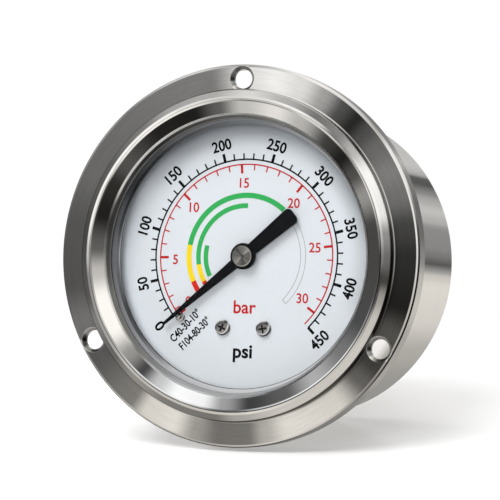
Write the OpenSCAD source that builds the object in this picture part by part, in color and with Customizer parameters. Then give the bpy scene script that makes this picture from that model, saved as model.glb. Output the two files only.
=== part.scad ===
// Liquid-filled pressure gauge with a front flange for panel mounting, a C-shaped Bourdon tube
// and a rear stem. Lengths are in millimetres. The dial faces -Y and +Z is up. The origin is
// the centre of the circle of fixing holes, in the plane of the flange's rear face. Every depth
// below is counted rearwards from the flange's front face, and from_face() shifts it there.

/* [Case] */
// Outer diameter of the drawn case
case_d = 71.8; // [67:0.1:72.2]
// Depth from the flange face to the outside of the rear wall
case_depth = 47.2; // [45:0.1:60]
// Sheet thickness of the case
case_wall = 0.8; // [0.5:0.1:1]
// Outer radius of the rear corner
case_corner_r = 2.5; // [1.5:0.1:5]
// Height of the filler hole above the axis
filler_offset = 24; // [22:0.5:26]
// Diameter of the filler hole
filler_hole_d = 8; // [6:0.1:9]

/* [Front flange] */
// Outer diameter of the front flange
flange_d = 85; // [85:0.1:96]
// Sheet thickness of the flange
flange_t = 1; // [0.8:0.1:1.2]
// Depth of the turned-back rim
rim_depth = 4.4; // [3:0.1:8]
// Radius of the rim's front edge
rim_edge_r = 0.7; // [0.4:0.1:0.9]
// Height of the collar in front of the flange face
collar_h = 2.5; // [2.2:0.1:4]
// Radial thickness of the collar
collar_wall = 0.8; // [0.6:0.1:1]
// Radius of the collar's front edge
collar_edge_r = 1.2; // [0.6:0.1:1.4]
// Distance that the collar's lip reaches inwards over the bezel ring
collar_lip = 1.3; // [1:0.1:1.8]
// Number of fixing holes
hole_count = 3; // [3:1:6]
// Diameter of the circle of fixing holes
hole_pcd = 78.6; // [78.4:0.1:78.6]
// Diameter of a fixing hole
hole_d = 4.3; // [3:0.1:4.3]
// Diameter of the pressed countersink at the flange face
countersink_d = 5.6; // [4.8:0.1:5.6]
// Depth of the pressed countersink
countersink_depth = 0.9; // [0.6:0.1:0.9]

/* [Bezel ring and window] */
// Sheet thickness of the bezel ring
ring_t = 0.7; // [0.5:0.1:0.9]
// Width of the ring's visible face
ring_face_w = 3; // [2.4:0.1:4]
// Depth that the face falls from its outer to its inner edge
ring_dish = 1.05; // [0.6:0.05:1.3]
// Distance that the ring's return lip reaches inwards
ring_return = 0.95; // [0.6:0.05:1.2]
// Gap between the ring and the collar's lip
ring_gap = 0.3; // [0.2:0.05:0.6]
// Thickness of the window
window_t = 2.2; // [1.8:0.1:2.4]
// Radial thickness of the gasket's outer wall
gasket_wall = 1.4; // [0.8:0.1:1.8]

/* [Dial] */
// Depth of the dial's face behind the flange face
dial_depth = 5.8; // [5.6:0.1:7]
// Thickness of the dial plate
dial_t = 0.5; // [0.4:0.1:0.8]
// Distance between the two dial screws
dial_screw_spacing = 9.8; // [8.6:0.1:12]
// Distance of the dial screws below the axis
dial_screw_drop = 16; // [14:0.1:17]
// Head diameter of a dial screw
dial_screw_head_d = 3.3; // [2.8:0.1:3.8]

/* [Pointer] */
// Length from the axis to the tip
pointer_len = 24.5; // [20:0.1:26.5]
// Length from the axis to the end of the tail
tail_len = 15.2; // [10:0.1:17]
// Width of both arms beside the boss
pointer_root_w = 2.55; // [1.6:0.05:3.4]
// Width just behind the tip
pointer_tip_w = 0.6; // [0.4:0.05:1]
// Width of the tail's end
tail_end_w = 4; // [3:0.1:5]
// Sheet thickness of the pointer
pointer_t = 0.4; // [0.3:0.05:0.5]
// Diameter of the black boss
boss_d = 5.9; // [5.2:0.1:7]
// Diameter of the steel cap
cap_d = 4.9; // [3.6:0.1:5]
// Angle of the pointer at zero, anticlockwise from +X in the front view
pointer_zero = 219.6; // [210:0.1:230]
// Sweep of the pointer over the whole scale
pointer_sweep = 264.6; // [240:0.1:270]
// Radius at which the stop pin stands
stop_radius = 20.6; // [18:0.1:23]

/* [Movement] */
// Module of the gear teeth
gear_module = 0.3; // [0.28:0.01:0.32]
// Teeth of the pinion
pinion_teeth = 15; // [14:1:17]
// Teeth that the sector would have as a full gear
sector_teeth = 108; // [100:1:112]
// Thickness of the sector
sector_t = 1; // [0.8:0.1:1.2]
// Thickness of the movement plates
plate_t = 1.2; // [1:0.1:1.5]
// Gap between the movement plates
plate_gap = 5.3; // [5.2:0.1:6.5]
// Width of the movement plates
plate_w = 16; // [14:0.5:20]
// Length of the posts between the dial and the front plate
post_len = 3.2; // [2.6:0.1:5]
// Distance from the sector's axis to its link pin
sector_arm = 4.5; // [4:0.1:5]
// Outer radius of the hairspring
hairspring_r = 5; // [4.6:0.1:5.6]
// Turns of the hairspring
hairspring_turns = 5; // [3:1:6]

/* [Bourdon tube] */
// Radius of the tube's centre line
tube_radius = 25; // [24:0.1:28]
// Width of the flattened tube, along the axis
tube_w = 11; // [9:0.1:12]
// Thickness of the flattened tube
tube_t = 3.4; // [2.4:0.1:4.4]
// Wall of the tube
tube_wall = 0.5; // [0.3:0.05:0.8]
// Angle of the tube's free end, from +X in the front view
tube_tip_angle = -28; // [-34:1:-24]

/* [Socket] */
// Width of the block that carries the tube and the movement
block_w = 16; // [14:0.5:20]
// Diameter of the neck through the rear wall
neck_d = 16; // [14:0.1:17]
// Distance across the wrench flats
wrench_af = 14; // [12:0.5:15]
// Length of the wrench flats
wrench_len = 10; // [8:0.5:14]
// Outer diameter of the stem's thread
thread_d = 13.157; // [12:0.001:14]
// Length of the stem's thread
thread_len = 13; // [10:0.5:16]
// Diameter of the pressure port
port_d = 6; // [5:0.1:7]
// Depth of the pressure port
port_depth = 11; // [8:0.5:14]

/* [Hidden] */

// Colours
steel = [0.72, 0.71, 0.69];
brass = [0.78, 0.62, 0.32];
rubber = [0.06, 0.06, 0.06];
white = [0.88, 0.9, 0.92];
black = [0.02, 0.02, 0.02];

// Clearances
seat = 0.05;
slip = 0.1;
running = 0.03;
overlap_cut = 0.1;

// Case and flange radii
case_r = case_d / 2;
case_in_r = case_r - case_wall;
case_floor_y = case_depth - case_wall;
flange_r = flange_d / 2;
rim_in_r = flange_r - flange_t;
rim_inner_fillet = 0.6;
collar_in_r = case_r + slip;
collar_r = collar_in_r + collar_wall;
collar_foot_r = 0.4;
collar_lip_t = 0.9;
lip_r = collar_in_r - collar_lip;
lip_edge_r = 0.3;
lip_back_y = collar_lip_t - collar_h;
countersink_r = countersink_d / 2;
hole_r = hole_d / 2;
dimple_wall = 0.3;
dimple_r = countersink_r + dimple_wall;
dimple_len = 0.8;
dimple_y = countersink_depth + dimple_len;

// Bezel ring: its hem is held between the collar's lip and the case's front edge
hem_r = collar_in_r - slip;
hem_y = lip_back_y + seat;
hem_back_y = hem_y + ring_t;
case_front_y = hem_back_y + seat;
ring_r = lip_r - ring_gap;
ring_y = slip - collar_h;
ring_edge_r = 0.3;
ring_in_r = ring_r - ring_face_w;
ring_nose_r = 0.45;
ring_in_y = ring_y + ring_dish;
ring_lip_r = ring_in_r - ring_return;
ring_lip_y = 0.25;
ring_lip_land = 0.3;

// Window, its gasket and the spacer ring between window and dial
gasket_r = case_in_r - slip;
gasket_front_t = 0.3;
gasket_back_t = 0.6;
gasket_y = ring_lip_y + seat;
window_r = gasket_r - gasket_wall;
window_y = gasket_y + gasket_front_t;
window_back_y = window_y + window_t;
gasket_back_y = window_back_y + gasket_back_t;
gasket_leg_r = ring_lip_r + 1.15;
gasket_gap = 0.2;
spacer_wall = 0.9;
spacer_flare = 0.15;
spacer_skirt_t = 1.9;
spacer_nose_r = ring_lip_r - slip;
spacer_out_r = gasket_leg_r - gasket_gap;
dial_open_r = spacer_nose_r + spacer_flare;
dial_back_y = dial_depth + dial_t;
seat_y = dial_back_y + slip;
dial_gap = 0.2;
seat_web_w = 1.8;
skirt_in_r = gasket_r - spacer_skirt_t;
dial_r = skirt_in_r - dial_gap;
seat_web_r = dial_r - seat_web_w;
seat_len = 4.5;
dial_bore_r = 2.3;

// Dial screws and their posts
screw_at = [for (side = [-1, 1]) [side * dial_screw_spacing / 2, -dial_screw_drop]];
m2_r = 0.98;
tap_r = 1;
post_r = 1.9;
post_tap_depth = 2.6;
head_h = 0.9;
head_round = 0.65;
cross_w = 0.45;
cross_depth = 0.5;
cross_turn = 20;

// Pointer stack along the axis
pointer_gap = 1.2;
pointer_back_y = dial_depth - pointer_gap;
pointer_y = pointer_back_y - pointer_t;
boss_rise = 0.3;
boss_y = pointer_y - boss_rise;
cap_t = 0.6;
cap_edge = 0.15;
cap_mark_r = 0.35;
cap_mark_depth = 0.25;
cap_y = boss_y - cap_t;
bush_r = 1.3;
bush_flange_r = 2.1;
bush_flange_t = 0.6;
arbor_tip_r = 0.9;
tail_corner_r = 1.15;
stop_pin_r = 0.55;
stop_base_r = 1;
stop_base_h = 0.9;
stop_rivet_len = 0.3;

// Half width of the pointer at the radius of the stop pin, and the pin's place beside it
pointer_half = (pointer_root_w + (pointer_tip_w - pointer_root_w) * stop_radius / pointer_len) / 2;
stop_offset = pointer_half + stop_pin_r + seat;

// Movement, front to back
front_plate_y = dial_back_y + post_len;
front_plate_back_y = front_plate_y + plate_t;
back_plate_y = front_plate_back_y + plate_gap;
block_y = back_plate_y + plate_t;
collet_end_gap = 0.8;
hairspring_w = 0.6;
hairspring_t = 0.16;
collet_r = 1.9;
collet_h = 1.1;
hairspring_y = front_plate_back_y + (collet_h + slip) / 2 - hairspring_w / 2 + seat;
stud_w = 1.8;
stud_h = 1.6;
stud_wall = 1.2;
sector_y = front_plate_back_y + collet_h + collet_end_gap;
sector_back_y = sector_y + sector_t;
link_t = 0.8;
link_gap = 0.2;
link_y = sector_back_y + link_gap;
link_back_y = link_y + link_t;
ear_t = 1;
ear_y = link_back_y + link_gap;

// Gearing
pressure_angle = 25;
addendum = 0.85;
dedendum = 1.2;
tooth_relief = 0.8;
pinion_r = gear_module * pinion_teeth / 2;
sector_r = gear_module * sector_teeth / 2;
gear_ratio = sector_teeth / pinion_teeth;
sector_sweep = pointer_sweep / gear_ratio;
centre_distance = pinion_r + sector_r + 0.02;
sector_z = -centre_distance;
tooth_step = 360 / sector_teeth;
spare_teeth = 2;
last_tooth = ceil(sector_sweep / tooth_step) + spare_teeth;
rim_w = 2;
spoke_w = 2;
sector_hub_r = 3;
sector_eye_r = 1.8;
pinion_body_r = 1.05;
pivot_r = 0.6;
sector_arbor_r = 1.5;
sector_pivot_r = 0.8;
sector_seat_r = sector_pivot_r + 0.4;
pinion_overhang = 0.3;

// Link: it lies along the tangent from the tube's pin to the circle of the sector's pin
link_pin_r = 0.5;
link_pin_head_r = 0.9;
link_pin_head_t = 0.35;
tip_reach = 6.4;
tube_tip = tube_radius * [cos(tube_tip_angle), sin(tube_tip_angle)];
tip_pin_at = tube_tip + tip_reach * [sin(tube_tip_angle), -cos(tube_tip_angle)];
pivot_to_tip = tip_pin_at - [0, sector_z];
pivot_distance = norm(pivot_to_tip);
arm_mid_angle = atan2(pivot_to_tip[1], pivot_to_tip[0]) - acos(sector_arm / pivot_distance);
arm_rest_angle = arm_mid_angle - sector_sweep / 2;
link_angle = arm_mid_angle + 90;
link_len = sqrt(pow(pivot_distance, 2) - pow(sector_arm, 2));
sector_pin_at = [0, sector_z] + sector_arm * [cos(arm_rest_angle), sin(arm_rest_angle)];
slot_half_w = link_pin_r + sector_arm * (1 - cos(sector_sweep / 2)) + slip;
slot_half_len = sector_arm * sin(sector_sweep / 2) + link_pin_r + 2 * slip;
link_eye_r = 1.4;
link_rail = 0.8;

// Plates, pillars and their screws
plate_top = 8.2;
plate_drop = 28;
plate_corner_r = 2;
pillar_r = 1.7;
pillar_spigot_r = 1;
pillar_tap_r = 0.85;
pillar_at = [[-5.8, 5.8], [5.8, 5.8], [-4.6, -25.6]];
plate_screw_r = 0.83;
plate_screw_head_r = 1.6;
plate_screw_len = 3.4;
block_screw_at = [[0, 5], [0, -10]];
block_screw_head_r = 1.8;
block_screw_len = 4.6;

// Socket, tube and rear wall
block_top = 8;
block_wall = 2.4;
block_drop = tube_radius + tube_t / 2 + block_wall;
block_depth = tube_w + 2 * block_wall;
tube_y = block_y + block_wall + tube_w / 2;
tube_root_angle = -97;
tip_cap_wall = 0.4;
tip_cap_len = 2.4;
tip_leg_t = 1;
passage_r = 1.2;
neck_r = neck_d / 2;
neck_hole_r = neck_r + 0.2;
shoulder_w = 7;
shoulder_r = neck_r + shoulder_w;
shoulder_t = 3;
seal_t = 1;
seal_w = 2.2;
seal_r = neck_r + seal_w;
shoulder_y = case_floor_y - seal_t - shoulder_t;
case_screw_count = 3;
case_screw_offset = 4.4;
case_screw_circle_r = neck_r + case_screw_offset;
case_screw_angle = 60;
case_screw_r = 1.45;
case_screw_head_r = 2.5;
case_screw_len = 3.2;
case_screw_head_h = 1.45;
neck_len = 3;
join = 1;
neck_end_y = case_depth + neck_len;
wrench_back_y = neck_end_y + wrench_len;
wrench_corner_r = wrench_af * 0.62;
thread_r = thread_d / 2;
thread_height = 0.86;
thread_root_r = thread_r - thread_height;
thread_chamfer = 0.8;
relief_len = 2;
thread_y = wrench_back_y + relief_len;
thread_end_y = thread_y + thread_len;
pilot_r = thread_r * 0.72;
pilot_len = 2;
stem_end_y = thread_end_y + pilot_len;
port_r = port_d / 2;
port_floor_y = stem_end_y - port_depth;
restrictor_r = 2;
restrictor_len = 4;
restrictor_bore_r = 0.25;
filler_r = filler_hole_d / 2;
plug_lip = 0.8;
plug_lip_len = 1.6;
plug_head = 1.6;
plug_head_t = 1.8;
plug_round = 1;
plug_nipple_r = 1.8;
plug_nipple_end_r = 1.3;
plug_nipple_len = 1.4;
plug_chamfer = 0.3;

// Points of an arc about a centre, from one angle to another
function arc(centre, r, from, to, steps = 6) = [
    for (i = [0:steps])
        let (a = from + (to - from) * i / steps)
            centre + r * [cos(a), sin(a)]
];

// Involute function, in degrees
function involute(a) = tan(a) * 180 / PI - a;

// Half angle of a tooth at radius r
function tooth_half_angle(r, teeth) =
    let (base_r = gear_module * teeth / 2 * cos(pressure_angle))
        let (a = r > base_r ? acos(base_r / r) : 0)
            90 / teeth + involute(pressure_angle) - involute(a) - tooth_relief / teeth;

// Outline of one tooth about a direction, anticlockwise from its root
function tooth(teeth, direction) =
    let (pitch_r = gear_module * teeth / 2)
        let (root_r = pitch_r - dedendum * gear_module, tip_r = pitch_r + addendum * gear_module)
            let (radii = [for (i = [0:4]) root_r + (tip_r - root_r) * i / 4])
                concat(
                    [for (i = [0:4]) point_at(radii[i], direction - tooth_half_angle(radii[i], teeth))],
                    [for (i = [4:-1:0]) point_at(radii[i], direction + tooth_half_angle(radii[i], teeth))]
                );

function point_at(r, a) = r * [cos(a), sin(a)];

// Points of a spiral, with an offset from its centre line
function spiral(r0, r1, turns, end_angle, offset) = [
    for (i = [0:turns * 30])
        let (k = i / (turns * 30))
            point_at(r0 + (r1 - r0) * k + offset, end_angle - 360 * turns * (1 - k))
];

function reversed(list) = [for (i = [len(list) - 1:-1:0]) list[i]];

// Turns a section of [radius, depth] points about an axis along Y
module turned(section, at = [0, 0])
    translate([at[0], 0, at[1]]) rotate([-90, 0, 0]) rotate_extrude($fn = 120) polygon(section);

// Extrudes a front-view drawing from one depth to another
module plate(from, to)
    translate([0, to, 0]) rotate([90, 0, 0]) linear_extrude(to - from) children();

// Round bar along Y
module bar(r, from, to, at = [0, 0])
    translate([at[0], from, at[1]]) rotate([-90, 0, 0]) cylinder(r = r, h = to - from, $fn = 48);

// Rectangle with rounded corners, drawn from its lower left corner
module rounded_rect(size, r) {
    translate([r, 0]) square([size[0] - 2 * r, size[1]]);
    translate([0, r]) square([size[0], size[1] - 2 * r]);
    for (x = [r, size[0] - r], y = [r, size[1] - r])
        translate([x, y]) circle(r = r, $fn = 32);
}

// Strip with round ends between two points along +X
module strip(x0, x1, r)
    polygon(concat(arc([x1, 0], r, -90, 90, 16), arc([x0, 0], r, 90, 270, 16)));

module case_body() color(steel) from_face()
    difference() {
        turned(concat(
            [[case_in_r, case_front_y], [case_r, case_front_y]],
            arc([case_r - case_corner_r, case_depth - case_corner_r], case_corner_r, 0, 90),
            [[neck_hole_r, case_depth], [neck_hole_r, case_floor_y]],
            arc([case_r - case_corner_r, case_depth - case_corner_r],
                case_corner_r - case_wall, 90, 0)
        ));
        bar(filler_r, case_floor_y - overlap_cut, case_depth + overlap_cut, [0, filler_offset]);
        at_case_screws()
            bar(case_screw_r + slip, case_floor_y - overlap_cut, case_depth + overlap_cut);
    }

// Moves depths that are counted from the flange's front face to the frame's origin
module from_face()
    translate([0, -flange_t, 0]) children();

module at_case_screws()
    for (i = [0:case_screw_count - 1])
        rotate([0, case_screw_angle + i * 360 / case_screw_count, 0]) translate([case_screw_circle_r, 0, 0])
            children();

module at_flange_holes()
    for (i = [0:hole_count - 1])
        rotate([0, -90 + i * 360 / hole_count, 0]) translate([hole_pcd / 2, 0, 0]) children();

// Pressed flange with a turned-back rim and a collar that is rolled over the bezel ring's hem
module front_flange() color(steel) from_face()
    difference() {
        union() {
            turned(concat(
                [[collar_in_r, flange_t]],
                arc([rim_in_r - rim_inner_fillet, flange_t + rim_inner_fillet],
                    rim_inner_fillet, -90, 0),
                [[rim_in_r, rim_depth], [flange_r, rim_depth]],
                arc([flange_r - rim_edge_r, rim_edge_r], rim_edge_r, 0, -90),
                arc([collar_r + collar_foot_r, -collar_foot_r], collar_foot_r, 90, 180),
                arc([collar_r - collar_edge_r, collar_edge_r - collar_h], collar_edge_r, 0, -90, 8),
                arc([lip_r + lip_edge_r, lip_edge_r - collar_h], lip_edge_r, -90, -180),
                [[lip_r, lip_back_y], [collar_in_r, lip_back_y]]
            ));
            at_flange_holes() dimple_back();
        }
        at_flange_holes() dimple_cut();
    }

// Metal that the countersink pushes out behind the sheet
module dimple_back()
    translate([0, flange_t / 2, 0]) rotate([-90, 0, 0])
        cylinder(r1 = dimple_r, r2 = hole_r + dimple_wall, h = dimple_y - flange_t / 2, $fn = 48);

module dimple_cut() {
    rotate([-90, 0, 0])
        cylinder(r1 = countersink_r, r2 = hole_r, h = countersink_depth, $fn = 48);
    bar(countersink_r, -collar_foot_r, 0);
    bar(hole_r, 0, dimple_y + overlap_cut);
}

// Pressed ring: a hem behind the collar's lip, a dished face and a return lip on the gasket
module bezel_ring() color(steel) from_face()
    turned(concat(
        [[hem_r, hem_back_y], [hem_r, hem_y], [ring_r, hem_y]],
        arc([ring_r - ring_edge_r, ring_y + ring_edge_r], ring_edge_r, 0, -90, 4),
        arc([ring_in_r + ring_nose_r, ring_in_y + ring_nose_r], ring_nose_r, -100, -180, 5),
        [[ring_lip_r, ring_lip_y - ring_lip_land], [ring_lip_r, ring_lip_y],
         [ring_lip_r + ring_t, ring_lip_y],
         [ring_in_r + ring_t, ring_in_y + ring_nose_r + ring_t / 2],
         [ring_in_r + ring_t + ring_nose_r, ring_in_y + ring_t],
         [ring_r - ring_t, ring_y + ring_t + ring_edge_r],
         [ring_r - ring_t, hem_back_y]]
    ));

module window() color([0.8, 0.9, 0.95, 0.35]) from_face()
    bar(window_r - seat, window_y, window_back_y);

// U-shaped seal round the edge of the window
module window_gasket() color(rubber) from_face()
    turned([
        [ring_lip_r, gasket_y], [gasket_r, gasket_y], [gasket_r, gasket_back_y],
        [gasket_leg_r, gasket_back_y], [gasket_leg_r, window_back_y],
        [window_r, window_back_y], [window_r, window_y], [ring_lip_r, window_y]
    ]);

// Moulded ring that hides the edge of the dial
module spacer_ring() color(white) from_face()
    turned([
        [spacer_nose_r, window_back_y + seat], [spacer_out_r, window_back_y + seat],
        [spacer_out_r, gasket_back_y + seat], [gasket_r, gasket_back_y + seat],
        [gasket_r, seat_y], [skirt_in_r, seat_y], [skirt_in_r, gasket_back_y + spacer_wall],
        [spacer_out_r + seat, gasket_back_y + spacer_wall],
        [dial_open_r + spacer_wall, dial_depth - seat], [dial_open_r, dial_depth - seat]
    ]);

// Pressed ring welded into the case, on which the spacer ring rests
module seat_ring() color(steel) from_face()
    turned([
        [seat_web_r, seat_y + seat], [case_in_r - seat, seat_y + seat],
        [case_in_r - seat, seat_y + seat_len],
        [case_in_r - seat - case_wall, seat_y + seat_len],
        [case_in_r - seat - case_wall, seat_y + seat + case_wall],
        [seat_web_r, seat_y + seat + case_wall]
    ]);

module dial_plate() color(white) from_face()
    difference() {
        bar(dial_r, dial_depth, dial_back_y);
        bar(dial_bore_r, dial_depth - overlap_cut, dial_back_y + overlap_cut);
        for (at = screw_at)
            bar(tap_r + seat, dial_depth - overlap_cut, dial_back_y + overlap_cut, at);
        at_stop_pin()
            bar(stop_pin_r, dial_depth - overlap_cut, dial_back_y + overlap_cut);
    }

// Pan-head screws with a cross recess
module dial_screws() color(steel) from_face()
    for (at = screw_at)
        translate([at[0], 0, at[1]]) difference() {
            turned(concat(
                [[0, dial_depth + post_tap_depth], [m2_r, dial_depth + post_tap_depth],
                 [m2_r, dial_depth], [dial_screw_head_d / 2, dial_depth]],
                arc([dial_screw_head_d / 2 - head_round, dial_depth - head_h + head_round],
                    head_round, 0, -90),
                [[0, dial_depth - head_h]]
            ));
            for (turn = [0, 90])
                rotate([0, turn + cross_turn, 0])
                    cross_arm(dial_screw_head_d * 0.3, dial_depth - head_h - overlap_cut);
        }

// One arm of a cross recess, of the given half length, cut rearwards from a depth
module cross_arm(half_len, from)
    translate([-half_len, from, -cross_w / 2])
        cube([2 * half_len, cross_depth + overlap_cut, cross_w]);

module at_stop_pin()
    rotate([0, -pointer_zero, 0]) translate([stop_radius, 0, stop_offset]) children();

// Pin that the pointer rests against at zero
module stop_pin() color(steel) from_face()
    at_stop_pin() {
        bar(stop_pin_r, boss_y, dial_back_y + stop_rivet_len);
        bar(stop_base_r, dial_depth - stop_base_h, dial_depth);
    }

// Flat pointer with a slim arm, a paddle-shaped tail and a round boss
module pointer() color(black) from_face()
    rotate([0, -pointer_zero, 0]) difference() {
        union() {
            plate(pointer_y, pointer_back_y) pointer_outline();
            bar(boss_d / 2, boss_y, pointer_back_y);
        }
        bar(bush_r + seat, boss_y - overlap_cut, pointer_back_y + overlap_cut);
    }

module pointer_outline() {
    tip_half = pointer_tip_w / 2;
    tail_half = tail_end_w / 2;
    polygon(concat(
        [[0, -pointer_root_w / 2]],
        arc([pointer_len - tip_half, 0], tip_half, -80, 80),
        [[0, pointer_root_w / 2]],
        arc([tail_corner_r - tail_len, tail_half - tail_corner_r], tail_corner_r, 95, 170),
        arc([tail_corner_r - tail_len, tail_corner_r - tail_half], tail_corner_r, 190, 265)
    ));
}

// Turned steel cap with a centre mark
module pointer_cap() color(steel) from_face()
    turned([
        [0, cap_y + cap_mark_depth], [cap_mark_r / 2, cap_y + cap_mark_depth],
        [cap_mark_r, cap_y], [cap_d / 2 - cap_edge, cap_y], [cap_d / 2, cap_y + cap_edge],
        [cap_d / 2, boss_y], [0, boss_y]
    ]);

module pointer_bush() color(brass) from_face()
    difference() {
        union() {
            bar(bush_r, boss_y, pointer_back_y + bush_flange_t);
            bar(bush_flange_r, pointer_back_y, pointer_back_y + bush_flange_t);
        }
        bar(arbor_tip_r, boss_y - overlap_cut, pointer_back_y + bush_flange_t + overlap_cut);
    }

// Arbor with the pinion cut on it; a tooth gap faces the sector
module pinion_arbor() color(steel) from_face() {
    bar(arbor_tip_r, boss_y, front_plate_back_y + seat);
    bar(pinion_body_r, front_plate_back_y + seat, back_plate_y - seat);
    bar(pivot_r, back_plate_y - seat, block_y - seat);
    plate(sector_y - pinion_overhang, sector_back_y + pinion_overhang) {
        polygon([
            for (i = [0:pinion_teeth - 1])
                each tooth(pinion_teeth, -90 + (i + 0.5) * 360 / pinion_teeth)
        ]);
    }
}

module hairspring() color(brass) from_face()
    plate(hairspring_y, hairspring_y + hairspring_w)
        polygon(concat(
            spiral(collet_r + slip + hairspring_t, hairspring_r, hairspring_turns, 180,
                   hairspring_t / 2),
            reversed(spiral(collet_r + slip + hairspring_t, hairspring_r, hairspring_turns, 180,
                            -hairspring_t / 2))
        ));

module hairspring_collet() color(brass) from_face()
    difference() {
        bar(collet_r, front_plate_back_y + slip, front_plate_back_y + slip + collet_h);
        bar(pinion_body_r, front_plate_back_y, front_plate_back_y + collet_h + 2 * slip);
    }

// Post on the front plate that holds the outer end of the hairspring
module hairspring_stud() color(brass) from_face()
    translate([-hairspring_r - stud_wall, front_plate_back_y, -stud_w / 2]) difference() {
        cube([stud_w, stud_h, stud_w]);
        translate([stud_wall - hairspring_t / 2, hairspring_y - front_plate_back_y, -overlap_cut])
            cube([stud_wall, hairspring_w, stud_w + 2 * overlap_cut]);
    }

// Toothed sector: rim, two spokes, hub and the arm for the link
module sector_gear() color(brass) from_face()
    translate([0, 0, sector_z]) plate(sector_y, sector_back_y)
        difference() {
            union() {
                sector_rim();
                for (a = [90 + tooth_step, 90 - (last_tooth - 1) * tooth_step])
                    rotate(a) translate([0, -spoke_w / 2])
                        square([sector_r - rim_w / 2 - gear_module, spoke_w]);
                circle(r = sector_hub_r, $fn = 48);
                rotate(arm_rest_angle) strip(0, sector_arm, sector_eye_r);
            }
            circle(r = sector_seat_r, $fn = 48);
            translate(sector_arm * [cos(arm_rest_angle), sin(arm_rest_angle)])
                circle(r = link_pin_r, $fn = 32);
        }

module sector_rim() {
    first = 90 + spare_teeth * tooth_step + tooth_step / 2;
    last = 90 - last_tooth * tooth_step - tooth_step / 2;
    root_r = sector_r - dedendum * gear_module;
    polygon(concat(
        arc([0, 0], root_r - rim_w, first, last, 24),
        [point_at(root_r, last)],
        [for (i = [last_tooth:-1:-spare_teeth]) each tooth(sector_teeth, 90 - i * tooth_step)],
        [point_at(root_r, first)]
    ));
}

module sector_arbor() color(steel) from_face()
    translate([0, 0, sector_z]) {
        bar(sector_seat_r, front_plate_back_y + slip, back_plate_y - slip);
        bar(sector_arbor_r, sector_back_y, back_plate_y - slip);
        bar(sector_arbor_r, front_plate_back_y + slip, sector_y);
        bar(sector_pivot_r, front_plate_y + slip, block_y - slip);
    }

module plate_outline()
    translate([-plate_w / 2, -plate_drop])
        rounded_rect([plate_w, plate_drop + plate_top], plate_corner_r);

module plate_pivots(from, to, pinion_pivot_r) {
    bar(pinion_pivot_r + running, from - overlap_cut, to + overlap_cut);
    bar(sector_pivot_r + running, from - overlap_cut, to + overlap_cut, [0, sector_z]);
}

module movement_front_plate() color(brass) from_face()
    difference() {
        plate(front_plate_y, front_plate_back_y) plate_outline();
        plate_pivots(front_plate_y, front_plate_back_y, arbor_tip_r);
        for (at = screw_at)
            bar(pillar_spigot_r, front_plate_y - overlap_cut, front_plate_back_y + overlap_cut, at);
        for (at = pillar_at)
            bar(plate_screw_r + seat, front_plate_y - overlap_cut,
                front_plate_back_y + overlap_cut, at);
    }

module movement_back_plate() color(brass) from_face()
    difference() {
        plate(back_plate_y, block_y) plate_outline();
        plate_pivots(back_plate_y, block_y, pivot_r);
        for (at = pillar_at)
            bar(pillar_spigot_r, back_plate_y - overlap_cut, block_y + overlap_cut, at);
        for (at = block_screw_at)
            bar(tap_r + seat, back_plate_y - overlap_cut, block_y + overlap_cut, at);
    }

module movement_pillars() color(brass) from_face()
    for (at = pillar_at)
        difference() {
            union() {
                bar(pillar_r, front_plate_back_y, back_plate_y, at);
                bar(pillar_spigot_r, back_plate_y, block_y, at);
            }
            bar(pillar_tap_r, front_plate_back_y - overlap_cut,
                front_plate_back_y + plate_screw_len, at);
        }

// Cheese-head screw along Y with a slot; the head's underside is at the given depth
module slotted_screw(shank_r, head_r, under_head_y, length, at) {
    head_y = under_head_y - head_h;
    difference() {
        union() {
            bar(head_r, head_y, under_head_y, at);
            bar(shank_r, under_head_y, under_head_y + length, at);
        }
        translate([at[0] - head_r - 1, head_y - overlap_cut, at[1] - cross_w / 2])
            cube([2 * head_r + 2, head_h / 2 + overlap_cut, cross_w]);
    }
}

module movement_screws() color(steel) from_face()
    for (at = pillar_at)
        slotted_screw(plate_screw_r, plate_screw_head_r, front_plate_y, plate_screw_len, at);

module block_screws() color(steel) from_face()
    for (at = block_screw_at)
        slotted_screw(m2_r, block_screw_head_r, back_plate_y, plate_t + block_screw_len, at);

// Riveted posts that carry the dial
module dial_posts() color(brass) from_face()
    for (at = screw_at)
        difference() {
            union() {
                bar(post_r, dial_back_y, front_plate_y, at);
                bar(pillar_spigot_r, front_plate_y, front_plate_back_y, at);
            }
            bar(tap_r, dial_back_y - overlap_cut, dial_depth + post_tap_depth + slip, at);
        }

// Link with a round eye at the sector and a slot at the tube's pin
module link() color(steel) from_face()
    translate([sector_pin_at[0], 0, sector_pin_at[1]]) plate(link_y, link_back_y)
        rotate(link_angle) difference() {
            union() {
                translate([0, -link_eye_r * 0.7])
                    square([link_len - slot_half_len - link_rail / 2, link_eye_r * 1.4]);
                circle(r = link_eye_r, $fn = 32);
                strip(link_len - slot_half_len + slot_half_w, link_len + slot_half_len - slot_half_w,
                      slot_half_w + link_rail);
            }
            circle(r = link_pin_r + running, $fn = 32);
            strip(link_len - slot_half_len + slot_half_w, link_len + slot_half_len - slot_half_w,
                  slot_half_w);
        }

module link_pin(front_y, back_y, front_head_r, at) {
    bar(link_pin_r, front_y, back_y, at);
    bar(front_head_r, front_y - link_pin_head_t, front_y, at);
    bar(link_pin_head_r, back_y, back_y + link_pin_head_t, at);
}

module sector_pin() color(steel) from_face()
    link_pin(sector_y, link_back_y + slip, link_pin_head_r, sector_pin_at);

module tip_pin() color(steel) from_face()
    link_pin(link_y - slip, ear_y + ear_t, slot_half_w + 0.4, tip_pin_at);

// Section of the flattened tube, drawn as [radius, depth]
module tube_section(grow) {
    half_t = tube_t / 2 + grow;
    straight = tube_w / 2 - tube_t / 2;
    translate([tube_radius, 0]) {
        translate([-half_t, -straight]) square([2 * half_t, 2 * straight]);
        for (end = [-straight, straight])
            translate([0, end]) circle(r = half_t, $fn = 32);
    }
}

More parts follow.
